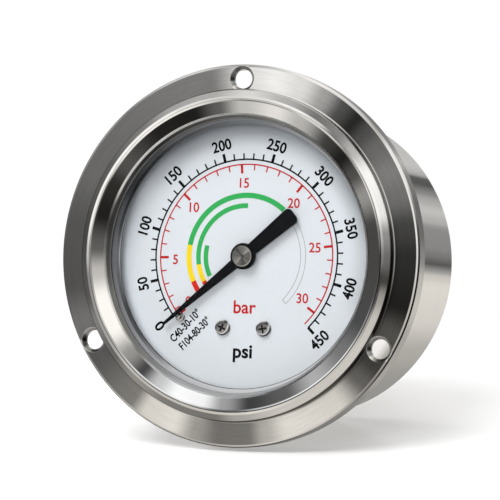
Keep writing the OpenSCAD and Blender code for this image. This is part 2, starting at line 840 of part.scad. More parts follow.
// Sweep of the section about the axis, from the tip anticlockwise to the root
module tube_sweep(from, sweep)
    translate([0, tube_y, 0]) rotate([0, -from, 0]) rotate([90, 0, 0])
        rotate_extrude(angle = sweep, $fn = 120) children();

module bourdon_tube() color(brass) from_face()
    tube_sweep(tube_tip_angle, 360 + tube_root_angle - tube_tip_angle)
        difference() {
            tube_section(0);
            tube_section(-tube_wall);
        }

// Cap brazed on the free end of the tube, with a leg and an ear for the link
module tube_tip() color(brass) from_face() {
    cap_half = tube_t / 2 + tip_cap_wall;
    translate([tube_tip[0], 0, tube_tip[1]]) rotate([0, 90 - tube_tip_angle, 0]) {
        translate([0, tube_y - tube_w / 2 - tip_cap_wall, -cap_half])
            cube([tip_cap_len, tube_w + 2 * tip_cap_wall, 2 * cap_half]);
        translate([tip_cap_len - tip_leg_t, ear_y, -cap_half])
            cube([tip_leg_t, tube_y - tube_w / 2 - ear_y, 2 * cap_half]);
        difference() {
            plate(ear_y, ear_y + ear_t) {
                translate([tip_cap_len - tip_leg_t, -link_eye_r])
                    square([tip_reach - tip_cap_len + tip_leg_t, 2 * link_eye_r]);
                translate([tip_reach, 0]) circle(r = link_eye_r, $fn = 32);
            }
            bar(link_pin_r, ear_y - overlap_cut, ear_y + ear_t + overlap_cut, [tip_reach, 0]);
        }
    }
}

// One brass piece: block with the tube's seat, shoulder, neck, wrench flats and threaded stem
module socket() color(brass) from_face()
    difference() {
        union() {
            translate([-block_w / 2, block_y, -block_drop])
                cube([block_w, block_depth, block_drop + block_top]);
            turned([
                [0, block_y + block_depth - join], [neck_r, block_y + block_depth - join],
                [neck_r, shoulder_y], [shoulder_r, shoulder_y],
                [shoulder_r, shoulder_y + shoulder_t], [neck_r, shoulder_y + shoulder_t],
                [neck_r, neck_end_y], [0, neck_end_y]
            ]);
            wrench_flats();
            turned([
                [0, wrench_back_y - join], [thread_root_r, wrench_back_y - join],
                [thread_root_r, thread_y], [thread_r - thread_chamfer, thread_y],
                [thread_r, thread_y + thread_chamfer], [thread_r, thread_end_y - thread_chamfer],
                [thread_r - thread_chamfer, thread_end_y], [pilot_r, thread_end_y],
                [pilot_r, stem_end_y], [0, stem_end_y]
            ]);
        }
        tube_sweep(tube_root_angle - 1, -tube_root_angle - 89) tube_section(0);
        tube_sweep(180, 180 + tube_root_angle) tube_section(seat);
        bar(passage_r, tube_y, port_floor_y);
        translate([0, tube_y, -tube_radius]) cylinder(r = passage_r, h = tube_radius, $fn = 32);
        bar(restrictor_r, port_floor_y - restrictor_len, port_floor_y + overlap_cut);
        bar(port_r, port_floor_y, stem_end_y + overlap_cut);
        for (at = block_screw_at)
            bar(tap_r, block_y - overlap_cut, block_y + block_screw_len + slip, at);
        at_case_screws()
            bar(case_screw_r, shoulder_y - overlap_cut, shoulder_y + shoulder_t + overlap_cut);
    }

module wrench_flats()
    intersection() {
        bar(wrench_corner_r, neck_end_y, wrench_back_y);
        translate([-wrench_af / 2, neck_end_y, -wrench_af / 2])
            cube([wrench_af, wrench_len, wrench_af]);
    }

// Slotted screw with a fine hole that damps pressure shocks
module restrictor() color(brass) from_face()
    difference() {
        bar(restrictor_r, port_floor_y - restrictor_len, port_floor_y - slip);
        bar(restrictor_bore_r, port_floor_y - restrictor_len - overlap_cut, port_floor_y);
        translate([-restrictor_r - 1, port_floor_y - slip - cross_depth, -cross_w / 2])
            cube([2 * restrictor_r + 2, cross_depth + overlap_cut, cross_w]);
    }

// Flat ring between the shoulder and the rear wall
module case_seal() color(rubber) from_face()
    difference() {
        bar(seal_r, shoulder_y + shoulder_t, case_floor_y);
        bar(neck_r, shoulder_y, case_depth);
    }

// Pan-head screws through the rear wall into the shoulder
module case_screws() color(steel) from_face()
    at_case_screws() difference() {
        turned(concat(
            [[0, case_depth - case_screw_len - case_wall],
             [case_screw_r, case_depth - case_screw_len - case_wall],
             [case_screw_r, case_depth], [case_screw_head_r, case_depth]],
            arc([case_screw_head_r - head_round, case_depth + case_screw_head_h - head_round],
                head_round, 0, 90),
            [[0, case_depth + case_screw_head_h]]
        ));
        for (turn = [0, 90])
            rotate([0, turn, 0])
                cross_arm(case_screw_head_r * 0.6, case_depth + case_screw_head_h - cross_depth);
    }

// Rubber plug in the filler hole: inner lip, neck, outer head and nipple
module filler_plug() color(rubber) from_face()
    turned(concat(
        [[0, case_floor_y - plug_lip_len], [filler_r - plug_lip, case_floor_y - plug_lip_len],
         [filler_r + plug_lip, case_floor_y], [filler_r, case_floor_y], [filler_r, case_depth],
         [filler_r + plug_head, case_depth]],
        arc([filler_r + plug_head - plug_round, case_depth + plug_head_t - plug_round],
            plug_round, 0, 90),
        [[plug_nipple_r, case_depth + plug_head_t],
         [plug_nipple_end_r, case_depth + plug_head_t + plug_nipple_len - plug_chamfer],
         [plug_nipple_end_r - plug_chamfer, case_depth + plug_head_t + plug_nipple_len],
         [0, case_depth + plug_head_t + plug_nipple_len]]
    ), [0, filler_offset]);

case_body();
front_flange();
bezel_ring();
window();
window_gasket();
spacer_ring();
seat_ring();
dial_plate();
dial_screws();
stop_pin();
pointer();
pointer_cap();
pointer_bush();
pinion_arbor();
hairspring();
hairspring_collet();
hairspring_stud();
sector_gear();
sector_arbor();
movement_front_plate();
movement_back_plate();
movement_pillars();
movement_screws();
block_screws();
dial_posts();
link();
sector_pin();
tip_pin();
bourdon_tube();
tube_tip();
socket();
restrictor();
case_seal();
case_screws();
filler_plug();
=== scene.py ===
"""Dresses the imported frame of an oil-filled pressure gauge with its sheet metal, dial, window and stem."""

import math

import bmesh
import bpy
from bpy.props import FloatProperty, FloatVectorProperty, IntProperty, PointerProperty
from mathutils import Matrix, Vector


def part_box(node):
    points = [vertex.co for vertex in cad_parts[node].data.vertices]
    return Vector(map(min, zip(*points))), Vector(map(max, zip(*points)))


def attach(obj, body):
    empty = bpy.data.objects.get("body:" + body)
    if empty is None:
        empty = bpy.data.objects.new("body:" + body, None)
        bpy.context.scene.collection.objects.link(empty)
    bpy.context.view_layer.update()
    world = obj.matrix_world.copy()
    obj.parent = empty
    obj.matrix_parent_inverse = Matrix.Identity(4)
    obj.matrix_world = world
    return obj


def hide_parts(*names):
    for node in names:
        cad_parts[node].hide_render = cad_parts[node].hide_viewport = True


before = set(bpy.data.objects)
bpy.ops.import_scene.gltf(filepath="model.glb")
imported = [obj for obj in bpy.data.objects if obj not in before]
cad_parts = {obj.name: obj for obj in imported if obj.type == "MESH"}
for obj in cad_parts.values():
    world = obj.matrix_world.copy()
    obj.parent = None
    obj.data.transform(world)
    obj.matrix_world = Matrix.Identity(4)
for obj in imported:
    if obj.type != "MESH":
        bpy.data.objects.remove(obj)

bl_info = {
    "name": "Oil-Filled Pressure Gauge",
    "version": (1, 0, 0),
    "blender": (4, 5, 0),
    "location": "View3D > Sidebar > Gauge",
    "description": "Builds the metal, dial, window and stem of a panel pressure gauge on its packed frame",
    "category": "Add Mesh",
}

MM = 0.001
# Depths are in mm behind the flange's front face. FACE is that face's own place along Y, also in mm.
DIAL = 5.8
SCREW_TOP = 4.9
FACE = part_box("dial_plate")[0][1] / MM - DIAL
FLANGE_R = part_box("front_flange")[1][0]
RIM_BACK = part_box("front_flange")[1][1] / MM - FACE
CASE_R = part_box("case_body")[1][0]
CASE_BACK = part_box("case_body")[1][1] / MM - FACE
STEM_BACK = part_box("socket")[1][1] / MM - FACE
# Places of the dial screws and the filler plug in mm.
SCREW_X, SCREW_Z, PLUG_Z = 4.9, -16.0, 24.0
# Angles in degrees anticlockwise from the right: the fixing holes, the scales' zero, 10 psi and 1 bar.
HOLE_ANGLES = (90, 210, 330)
SCALE_START, BLACK_STEP, RED_STEP = 225, 6, 8.7
# Height of the plain font's digits at size 1.
DIGIT_HEIGHT = 0.69
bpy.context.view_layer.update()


def length(name, default, description, low=0.0, high=0.2):
    """A size of the gauge, in metres."""
    return FloatProperty(
        name=name, description=description, default=default, min=low, max=high, subtype="DISTANCE",
        unit="LENGTH", precision=5)


def paint(name, default, description):
    """A colour of the gauge, linear red, green and blue."""
    return FloatVectorProperty(
        name=name, description=description, default=default, size=3, min=0.0, max=1.0, subtype="COLOR")


def point(name, default, description):
    """A place in the studio, in metres."""
    return FloatVectorProperty(
        name=name, description=description, default=default, size=3, subtype="TRANSLATION", unit="LENGTH")


class GaugeSizes(bpy.types.PropertyGroup):
    """Sizes of the dressed pieces."""
    flange_r: length("Flange radius", FLANGE_R, "Outer radius of the front flange")
    hole_ring_r: length("Hole circle", 39.3 * MM, "Radius of the circle of the three fixing holes")
    hole_r: length("Hole radius", 2.15 * MM, "Radius of a fixing hole")
    case_r: length("Case radius", CASE_R, "Outer radius of the drawn case")
    scale_r: length("Outer scale radius", 21.79 * MM, "Radius of the black scale's circle")
    inner_scale_r: length("Inner scale radius", 20.65 * MM, "Radius of the red scale's circle")
    number_r: length("Number circle", 25.65 * MM, "Radius at which the black numbers stand")
    number_h: length("Number height", 2.35 * MM, "Height of the black numbers")
    inner_number_h: length("Inner number height", 2.12 * MM, "Height of the red numbers")
    print_t: length("Print thickness", 0.02 * MM, "Thickness of the printing ink")
    thread_pitch: length("Thread pitch", 1.337 * MM, "Pitch of the stem's pipe thread")
    pointer_zero: FloatProperty(
        name="Zero angle", description="Direction of the pointer at zero, anticlockwise from the right",
        default=math.radians(219.6), subtype="ANGLE", unit="ROTATION")
    ring_steps: IntProperty(
        name="Ring steps", description="Steps round the large turned pieces", default=240, min=48, max=360)


class GaugeColours(bpy.types.PropertyGroup):
    """Colours of the dressed pieces."""
    dial: paint("Dial", (0.735, 0.775, 0.815), "White paint of the dial")
    ink: paint("Black ink", (0.003, 0.003, 0.004), "Black print of the outer scale")
    red_ink: paint("Red ink", (0.5, 0.012, 0.014), "Red print of the inner scale")
    band_green: paint("Green band", (0.03, 0.38, 0.09), "Green bands of the dial")
    band_yellow: paint("Yellow band", (0.85, 0.62, 0.01), "Yellow bands of the dial")
    band_red: paint("Red band", (0.62, 0.02, 0.01), "Red bands of the dial")
    pointer: paint("Pointer", (0.002, 0.002, 0.0025), "Black paint of the pointer")
    rubber: paint("Rubber", (0.018, 0.018, 0.018), "Gasket, seal and filler plug")
    brass: paint("Brass", (0.66, 0.45, 0.18), "Socket and movement")
    bronze: paint("Bronze", (0.56, 0.31, 0.14), "Tube and hairspring")
    small_steel: paint("Small steel", (0.55, 0.54, 0.52), "Screws, pins and arbors")
    floor: paint("Floor", (0.86, 0.86, 0.86), "Floor under the gauge")


class GaugeCamera(bpy.types.PropertyGroup):
    """Place and lens of the camera."""
    place: point("Place", (0.22303, -0.55769, -0.0188), "Where the camera stands")
    aim: point("Aim", (0.003287, -0.001, 0.001279), "Point at the middle of the picture")
    roll: FloatProperty(
        name="Roll", description="Turn about the line of sight", default=math.radians(1.889), subtype="ANGLE",
        unit="ROTATION")
    lens: FloatProperty(
        name="Lens", description="Focal length in millimetres", default=195.2, min=20.0, max=400.0)


# Meshes

def along_y(depth):
    """Place along Y, in metres, of a depth in mm behind the flange's face."""
    return (depth + FACE) * MM


def round_corners(bm, verts, points, corners, segments):
    """Rounds the corners of an outline to radii in mm."""
    for i, corner in enumerate(corners):
        if corner:
            to_last = points[i - 1] - points[i]
            to_next = points[(i + 1) % len(points)] - points[i]
            reach = corner * MM / math.tan(to_last.angle(to_next) / 2)
            bmesh.ops.bevel(
                bm, geom=[verts[i]], offset=reach, offset_type="OFFSET", affect="VERTICES", segments=segments,
                profile=0.5, material=-1)


def wire(bm, section, closed=True, rounding=6):
    """Draws a section of (radius, depth, corner radius) in mm as a wire in the XY plane."""
    points = [Vector((r * MM, along_y(y), 0.0)) for r, y, _ in section]
    verts = [bm.verts.new(point) for point in points]
    count = len(verts)
    for i in range(count if closed else count - 1):
        bm.edges.new((verts[i], verts[(i + 1) % count]))
    round_corners(bm, verts, points, [corner for _, _, corner in section], rounding)


def close_seams(bm, reach):
    """Merges points that lie within reach of each other, then turns all faces outwards."""
    bmesh.ops.remove_doubles(bm, verts=bm.verts[:], dist=reach)
    bmesh.ops.recalc_face_normals(bm, faces=bm.faces[:])


def spin_wire(bm, steps):
    """Turns the wire once round the gauge's axis and closes the seam and the poles."""
    bmesh.ops.spin(
        bm, geom=bm.verts[:] + bm.edges[:], cent=(0, 0, 0), axis=(0, 1, 0), dvec=(0, 0, 0), angle=2 * math.pi,
        steps=steps, use_merge=True, use_duplicate=False)
    close_seams(bm, 1e-7)


def turned(section, steps, at=(0.0, 0.0), closed=True, rounding=6, start=0.0):
    """A bmesh turned from a section about an axis along Y through (x, z) in mm, from a start angle."""
    bm = bmesh.new()
    wire(bm, section, closed, rounding)
    spin_wire(bm, steps)
    bmesh.ops.rotate(bm, verts=bm.verts[:], cent=(0, 0, 0), matrix=Matrix.Rotation(start, 3, "Y"))
    bmesh.ops.translate(bm, verts=bm.verts[:], vec=(at[0] * MM, 0.0, at[1] * MM))
    return bm


def add(bm, other):
    """Adds one bmesh to another and frees it."""
    mesh = bpy.data.meshes.new("part")
    other.to_mesh(mesh)
    other.free()
    bm.from_mesh(mesh)
    bpy.data.meshes.remove(mesh)


def link_object(bm, name):
    """Makes an object of a bmesh and frees it."""
    mesh = bpy.data.meshes.new(name)
    bm.to_mesh(mesh)
    bm.free()
    obj = bpy.data.objects.new(name, mesh)
    bpy.context.scene.collection.objects.link(obj)
    return obj


def carve(obj, tool, operation):
    """Cuts a bmesh out of an object's mesh, or joins it on."""
    cutter = link_object(tool, "cutter")
    step = obj.modifiers.new("carve", "BOOLEAN")
    step.operation = operation
    step.solver = "EXACT"
    step.object = cutter
    graph = bpy.context.evaluated_depsgraph_get()
    mesh = bpy.data.meshes.new_from_object(obj.evaluated_get(graph))
    obj.modifiers.clear()
    old = obj.data
    obj.data = mesh
    bpy.data.meshes.remove(old)
    bpy.data.objects.remove(cutter)
    if not mesh.polygons:
        raise RuntimeError("a carved piece came out empty")


def dress(obj, material, body, slot_name, nodes=(), angle=35.0, weighted=False):
    """Gives a piece its shading, materials and body, and hides the CAD nodes that it stands for."""
    mesh = obj.data
    mesh.materials.clear()
    for each in material if isinstance(material, (list, tuple)) else (material,):
        mesh.materials.append(each)
    mesh.shade_smooth()
    mesh.set_sharp_from_angle(angle=math.radians(angle))
    if weighted:
        even = obj.modifiers.new("even shading", "WEIGHTED_NORMAL")
        even.keep_sharp = True
    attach(obj, body)
    if nodes:
        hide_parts(*nodes)
    return obj


def piece(bm, name, finish, slot_name, nodes=(), body="housing", **shading):
    """A dressed object made of a bmesh, in a finish given by name."""
    return dress(link_object(bm, name), finish_of(finish), body, slot_name, nodes, **shading)


def cross_recess(obj, at, top, depth, half_length, width, turn, towards):
    """Cuts two crossed slots into a screw's head. towards is -1 where the head faces the front."""
    for extra in (0.0, math.pi / 2):
        bm = bmesh.new()
        middle = (at[0] * MM, along_y(top - towards * (depth / 2 - 0.2)), at[1] * MM)
        place = Matrix.Translation(middle) @ Matrix.Rotation(turn + extra, 4, "Y") @ Matrix.Diagonal(
            (2 * half_length * MM, (depth + 0.4) * MM, width * MM, 1.0))
        bmesh.ops.create_cube(bm, size=1.0, matrix=place)
        carve(obj, bm, "DIFFERENCE")


# Materials

def tone(level):
    """Linear brightness of a tone that reads as level out of 100 on a screen."""
    value = level / 100
    return value / 12.92 if value <= 0.04045 else ((value + 0.055) / 1.055) ** 2.4


def metal(level, warmth):
    """A metal tone of a screen level out of 100, warmer or cooler than grey."""
    value = tone(level)
    return (min(1.0, value * (1 + warmth)), value, value * (1 - warmth * 1.8), 1.0)


def node(tree, kind, links=(), **settings):
    """Adds a shader node, sets its properties, and links or sets its inputs by name or number."""
    made = tree.nodes.new("ShaderNode" + kind)
    for key, value in settings.items():
        setattr(made, key, value)
    for key, value in links:
        if isinstance(value, bpy.types.NodeSocket):
            tree.links.new(value, made.inputs[key])
        else:
            made.inputs[key].default_value = value
    return made


def maths(tree, operation, a, b=0.0):
    """The result of one sum."""
    return node(tree, "Math", ((0, a), (1, b)), operation=operation).outputs[0]


def scaled(tree, vector, factor):
    """A colour or direction times a factor."""
    return node(tree, "VectorMath", ((0, vector), ("Scale", factor)), operation="SCALE").outputs[0]


def blend(tree, share, first, second):
    """A colour that goes from the first to the second as share goes from 0 to 1."""
    return node(tree, "Mix", ((0, share), (6, first), (7, second)), data_type="RGBA").outputs[2]


def span(tree, value, low, high, to_low=0.0, to_high=1.0):
    """value carried from one range to another and held there."""
    links = (("Value", value), ("From Min", low), ("From Max", high), ("To Min", to_low), ("To Max", to_high))
    return node(tree, "MapRange", links, clamp=True).outputs["Result"]


def turn_of(tree, up, right):
    """Share of a full turn, anticlockwise from the right, at which a direction points."""
    angle = maths(tree, "ARCTAN2", up, right)
    return maths(tree, "FRACT", maths(tree, "ADD", maths(tree, "DIVIDE", angle, 2 * math.pi), 1.0))


def speckle(tree, place, scale, detail):
    """Even noise at a place."""
    links = (("Vector", place), ("Scale", scale), ("Detail", detail))
    return node(tree, "TexNoise", links).outputs["Fac"]


def roughen(tree, shader, height, strength):
    """Gives a material's surface a fine relief, 0.03 mm deep at full strength."""
    links = (("Strength", strength), ("Distance", 0.03 * MM), ("Height", height))
    tree.links.new(node(tree, "Bump", links).outputs[0], shader.inputs["Normal"])


def ramp(tree, factor, stops):
    """An eased colour ramp of (position, colour) stops."""
    made = node(tree, "ValToRGB", ((0, factor),))
    made.color_ramp.interpolation = "EASE"
    elements = made.color_ramp.elements
    while len(elements) > 1:
        elements.remove(elements[-1])
    elements[0].position = stops[0][0]
    elements[0].color = stops[0][1]
    for position, colour in stops[1:]:
        elements.new(position).color = colour
    return made.outputs["Color"]


def fans(tree, turn, lights, tints=(0.0, 0.0)):
    """Painted light and dark fans round the axis, reflections and shade painted into the colour, given as
    (degrees, screen level out of 100).

    tints are the painted warmth of these reflections above and below.
    """
    stops = [(angle / 360, metal(level, tints[225 < angle < 357])) for angle, level in lights]
    return ramp(tree, turn, stops + [(1.0, stops[0][1])])


def new_group(name, inputs, outputs):
    """An empty node group with float inputs and outputs."""
    group = bpy.data.node_groups.new(name, "ShaderNodeTree")
    for title, value in inputs:
        socket = group.interface.new_socket(title, in_out="INPUT", socket_type="NodeSocketFloat")
        socket.default_value = value
    for title in outputs:
        group.interface.new_socket(title, in_out="OUTPUT", socket_type="NodeSocketFloat")
    return group, group.nodes.new("NodeGroupInput"), group.nodes.new("NodeGroupOutput")


def around_axis():
    """Group: turn round the gauge's axis, distance from it, and depth in mm behind the flange's face."""
    name = "around_axis"
    if name in bpy.data.node_groups:
        return bpy.data.node_groups[name]
    group, _, out = new_group(name, (), ("Turn", "Radius", "Depth"))
    place = node(group, "TexCoord").outputs["Object"]
    xyz = node(group, "SeparateXYZ", ((0, place),))
    squares = maths(
        group, "ADD", maths(group, "POWER", xyz.outputs[0], 2.0), maths(group, "POWER", xyz.outputs[2], 2.0))
    radius = maths(group, "MULTIPLY", maths(group, "SQRT", squares), 1 / MM)
    depth = maths(group, "SUBTRACT", maths(group, "MULTIPLY", xyz.outputs[1], 1 / MM), FACE)
    group.links.new(turn_of(group, xyz.outputs[2], xyz.outputs[0]), out.inputs["Turn"])
    group.links.new(radius, out.inputs["Radius"])
    group.links.new(depth, out.inputs["Depth"])
    return group


def polar(tree):
    """Turn, radius and depth of the point that is shaded."""
    made = node(tree, "Group", node_tree=around_axis())
    return made.outputs["Turn"], made.outputs["Radius"], made.outputs["Depth"]


def across_section(tree, radius, depth, along):
    """Radius plus depth times along, which tells the faces of a section apart."""
    return maths(tree, "ADD", radius, maths(tree, "MULTIPLY", depth, along))


def lathe_grain():
    """Group: fine broken rings that a polishing lathe leaves, as a tone factor and a height."""
    name = "lathe_grain"
    if name in bpy.data.node_groups:
        return bpy.data.node_groups[name]
    group, given, out = new_group(
        name, (("Lines per mm", 3.0), ("Along", 0.0), ("Contrast", 0.1)), ("Tone", "Height"))
    _, radius, depth = polar(group)
    place = node(group, "TexCoord").outputs["Object"]
    way = node(group, "VectorMath", ((0, place),), operation="NORMALIZE").outputs[0]
    across = across_section(group, radius, depth, given.outputs["Along"])
    lines = maths(group, "MULTIPLY", across, given.outputs["Lines per mm"])
    noises = []
    for turns, stretch in ((1.5, 1.0), (9.0, 0.45)):
        stack = node(group, "CombineXYZ", ((2, maths(group, "MULTIPLY", lines, stretch)),)).outputs[0]
        both = node(
            group, "VectorMath", ((0, scaled(group, way, turns)), (1, stack)), operation="ADD").outputs[0]
        noises.append(speckle(group, both, 1.0, 4.0))
    centred = maths(group, "SUBTRACT", maths(group, "ADD", noises[0], noises[1]), 1.0)
    factor = maths(group, "ADD", 1.0, maths(group, "MULTIPLY", centred, given.outputs["Contrast"]))
    group.links.new(factor, out.inputs["Tone"])
    group.links.new(centred, out.inputs["Height"])
    return group


def painted(name, colour, roughness=0.5, metallic=0.0, **extra):
    """A plain material whose numbers stand on the shader's own sockets."""
    material = bpy.data.materials.new(name)
    material.use_nodes = True
    shader = material.node_tree.nodes["Principled BSDF"]
    shader.inputs["Base Color"].default_value = (*colour[:3], 1.0)
    shader.inputs["Roughness"].default_value = roughness
    shader.inputs["Metallic"].default_value = metallic
    for key, value in extra.items():
        shader.inputs[key.replace("_", " ").title().replace("Ior", "IOR")].default_value = value
    return material.node_tree, shader


def brushed(name, zones, roughness, lines, contrast, along=0.0, tints=(0.018, 0.045), dull_end=0.0):
    """Sheet steel with painted fans of reflected light and shade round the axis, one set for each zone of its
    section, and lathe rings.

    The section is measured as radius plus depth times along, in mm. Each zone is (where it ends, fans), and
    the last zone has no end. Up to dull_end the steel is too rough to mirror the dial.
    """
    tree, shader = painted(name, MID_GREY, roughness, 1.0, specular_tint=(0.5, 0.5, 0.5, 1.0))
    turn, radius, depth = polar(tree)
    across = across_section(tree, radius, depth, along)
    colour = fans(tree, turn, zones[0][1], tints)
    for (edge, _), (_, lights) in zip(zones, zones[1:]):
        share = span(tree, across, edge - SOFT_EDGE, edge + SOFT_EDGE)
        colour = blend(tree, share, colour, fans(tree, turn, lights, tints))
    grain = node(tree, "Group", node_tree=lathe_grain())
    for title, value in (("Lines per mm", lines), ("Along", along), ("Contrast", contrast)):
        grain.inputs[title].default_value = value
    tree.links.new(scaled(tree, colour, grain.outputs["Tone"]), shader.inputs["Base Color"])
    roughen(tree, shader, grain.outputs["Height"], 0.12)
    if dull_end:
        dullness = span(tree, across, dull_end, dull_end + 0.5, 0.6, roughness)
        tree.links.new(dullness, shader.inputs["Roughness"])
    return tree, shader


def machined(name, colour, roughness, shine):
    """Turned brass or small steel with a painted sheen: a tone that changes with the way a face is turned to
    a fixed light. shine is the share of tone that is painted sheen.
    """
    tree, shader = painted(name, colour, roughness, 1.0)
    texture = node(tree, "TexCoord")
    towards_light = ((0, texture.outputs["Normal"]), (1, (-0.4, -0.45, 0.8)))
    facing = node(tree, "VectorMath", towards_light, operation="DOT_PRODUCT").outputs["Value"]
    stops = [(at, (value, value, value, 1.0)) for at, value in TURNED_METAL_PAINTED_SHEEN]
    tones = ramp(tree, span(tree, facing, -1.0, 1.0), stops)
    sheen = node(tree, "Mix", ((0, shine), (2, 1.0), (3, tones))).outputs[0]
    grain = speckle(tree, texture.outputs["Object"], 2500.0, 2.0)
    uneven = maths(tree, "ADD", 0.88, maths(tree, "MULTIPLY", grain, 0.24))
    tint = scaled(tree, colour[:3], maths(tree, "MULTIPLY", sheen, uneven))
    tree.links.new(tint, shader.inputs["Base Color"])


MID_GREY = (0.6, 0.6, 0.6)
# Half the width in mm of the step between two faces' fans.
SOFT_EDGE = 0.08

# Painted sheen of small turned pieces, highlights and shade as tone factors, from faces that look away from
# the light to faces that look at it.
TURNED_METAL_PAINTED_SHEEN = (
    (0.0, 1.3), (0.2, 0.3), (0.36, 0.08), (0.5, 0.5), (0.6, 1.5), (0.69, 0.8), (0.725, 0.42), (0.77, 0.1),
    (0.86, 0.3), (0.92, 1.5), (1.0, 1.8))

# Painted fans of reflected light and shade on each face of the steel and the other turned pieces, as (degrees
# anticlockwise from the right, screen level out of 100).
# The angles were picked one by one. Many of the levels follow the photo's brightness, as it was read there.

COLLAR_FRONT = (
    (0, 50), (8, 72), (16, 96), (32, 97), (42, 62), (49, 48), (57, 84), (66, 97), (80, 88), (96, 82),
    (110, 90), (120, 97), (168, 97), (180, 76), (190, 54), (202, 60), (214, 66), (228, 74), (262, 77),
    (285, 86), (300, 78), (325, 77), (336, 62), (345, 32), (353, 24))
COLLAR_CORNER = (
    (0, 42), (8, 56), (16, 92), (30, 98), (40, 72), (48, 52), (58, 46), (70, 68), (85, 84), (100, 68),
    (116, 64), (130, 48), (150, 36), (175, 28), (195, 34), (206, 50), (218, 40), (232, 56), (250, 48),
    (265, 46), (274, 64), (290, 77), (325, 79), (338, 76), (346, 60), (352, 26))
COLLAR_LINE = (
    (0, 24), (8, 42), (16, 90), (30, 94), (40, 44), (48, 78), (60, 98), (80, 95), (92, 60), (102, 38),
    (112, 46), (130, 41), (170, 29), (200, 38), (215, 30), (232, 46), (244, 84), (256, 76), (266, 54),
    (275, 44), (284, 36), (305, 30), (322, 30), (335, 24), (345, 16))
COLLAR_SIDE = (
    (0, 24), (8, 50), (16, 86), (30, 93), (40, 50), (48, 70), (58, 97), (82, 92), (92, 50), (102, 37),
    (112, 46), (130, 41), (170, 29), (200, 36), (214, 30), (232, 45), (244, 82), (258, 72), (266, 54),
    (280, 66), (300, 56), (315, 55), (326, 44), (338, 42), (347, 20))
FLANGE_FOOT = (
    (0, 54), (8, 62), (16, 76), (34, 76), (44, 62), (58, 92), (80, 94), (92, 45), (102, 36), (112, 52),
    (130, 46), (150, 36), (180, 24), (200, 35), (214, 29), (232, 46), (244, 82), (256, 74), (264, 48),
    (276, 60), (290, 74), (300, 58), (312, 42), (320, 27), (345, 24))
FLANGE_FACE = (
    (0, 18), (10, 26), (20, 44), (28, 49), (37, 41), (43, 30), (48, 15), (54, 30), (61, 62), (69, 86),
    (78, 94), (87, 88), (101, 48), (152, 41), (172, 33), (190, 32), (203, 44), (215, 34), (234, 48),
    (240, 83), (250, 87), (258, 60), (266, 44), (276, 45), (282, 68), (290, 86), (308, 82), (318, 38),
    (325, 24), (336, 31), (345, 13))
FLANGE_EDGE = (
    (0, 84), (8, 91), (32, 93), (40, 74), (50, 80), (66, 94), (80, 80), (88, 60), (96, 72), (104, 84),
    (114, 82), (122, 66), (130, 52), (138, 62), (148, 58), (158, 50), (170, 41), (182, 33), (196, 36),
    (208, 50), (222, 64), (236, 74), (262, 68), (276, 76), (290, 84), (300, 78), (320, 56), (330, 64),
    (342, 74))
BEHIND_EDGE = (
    (0, 14), (8, 26), (16, 56), (24, 90), (34, 90), (42, 66), (50, 80), (60, 94), (72, 95), (84, 75),
    (92, 66), (106, 78), (120, 58), (135, 38), (160, 24), (185, 14), (210, 18), (224, 26), (250, 34),
    (268, 28), (285, 36), (300, 54), (310, 56), (318, 40), (325, 20), (338, 10), (350, 8))
RIM_SIDE = (
    (0, 60), (8, 46), (16, 44), (24, 56), (30, 82), (36, 62), (44, 50), (50, 56), (57, 74), (66, 92),
    (74, 97), (82, 88), (92, 66), (102, 50), (180, 40), (236, 70), (246, 86), (256, 72), (266, 50), (278, 42),
    (290, 40), (300, 50), (312, 62), (322, 76), (336, 74), (346, 86), (354, 82))
RING_INNER_LINE = (
    (0, 60), (30, 50), (60, 48), (90, 62), (115, 52), (140, 48), (180, 46), (200, 60), (220, 60), (245, 76),
    (290, 78), (330, 64))
RING_LIP = (
    (0, 66), (16, 54), (40, 46), (56, 52), (72, 58), (88, 46), (112, 32), (130, 20), (148, 26), (168, 25),
    (184, 36), (200, 52), (216, 54), (232, 62), (248, 80), (290, 79), (312, 66), (330, 62), (350, 66))
RING_NOSE = (
    (0, 33), (8, 26), (24, 53), (33, 28), (40, 17), (48, 28), (60, 62), (80, 68), (96, 74), (112, 80),
    (128, 86), (152, 84), (161, 40), (168, 24), (177, 44), (188, 70), (200, 92), (208, 95), (217, 80),
    (224, 55), (236, 84), (256, 98), (268, 84), (281, 74), (289, 48), (300, 42), (320, 48), (340, 35))
RING_FACE = (
    (0, 27), (12, 27), (24, 57), (33, 30), (41, 12), (50, 24), (63, 70), (74, 88), (88, 74), (98, 36),
    (108, 12), (124, 13), (143, 31), (153, 17), (165, 12), (178, 36), (188, 74), (198, 98), (211, 98),
    (223, 58), (232, 27), (240, 78), (249, 99), (259, 96), (268, 62), (279, 25), (294, 36), (307, 68),
    (322, 46), (336, 29))
RING_EDGE = (
    (0, 23), (8, 50), (24, 86), (32, 74), (40, 46), (50, 82), (60, 84), (72, 61), (86, 42), (96, 68),
    (106, 90), (122, 95), (140, 92), (148, 70), (153, 34), (168, 24), (178, 42), (190, 56), (202, 84),
    (216, 68), (232, 88), (250, 94), (258, 80), (265, 44), (272, 40), (284, 78), (296, 90), (306, 95),
    (320, 90), (336, 56), (348, 34))
RING_GAP = (
    (0, 8), (20, 50), (40, 70), (60, 84), (100, 90), (120, 96), (165, 94), (180, 70), (200, 60), (225, 56),
    (250, 44), (270, 24), (285, 6), (340, 4))
CASE_SIDE = (
    (0, 36), (3, 52), (6, 60), (13, 62), (16, 80), (20, 88), (24, 78), (28, 56), (31, 30), (33.5, 30),
    (36, 84), (40, 92), (55, 92), (80, 96), (110, 84), (140, 55), (165, 60), (190, 74), (225, 82), (250, 60),
    (275, 70), (300, 68), (312, 72), (326, 80), (340, 95), (352, 97), (356, 88), (358, 60))
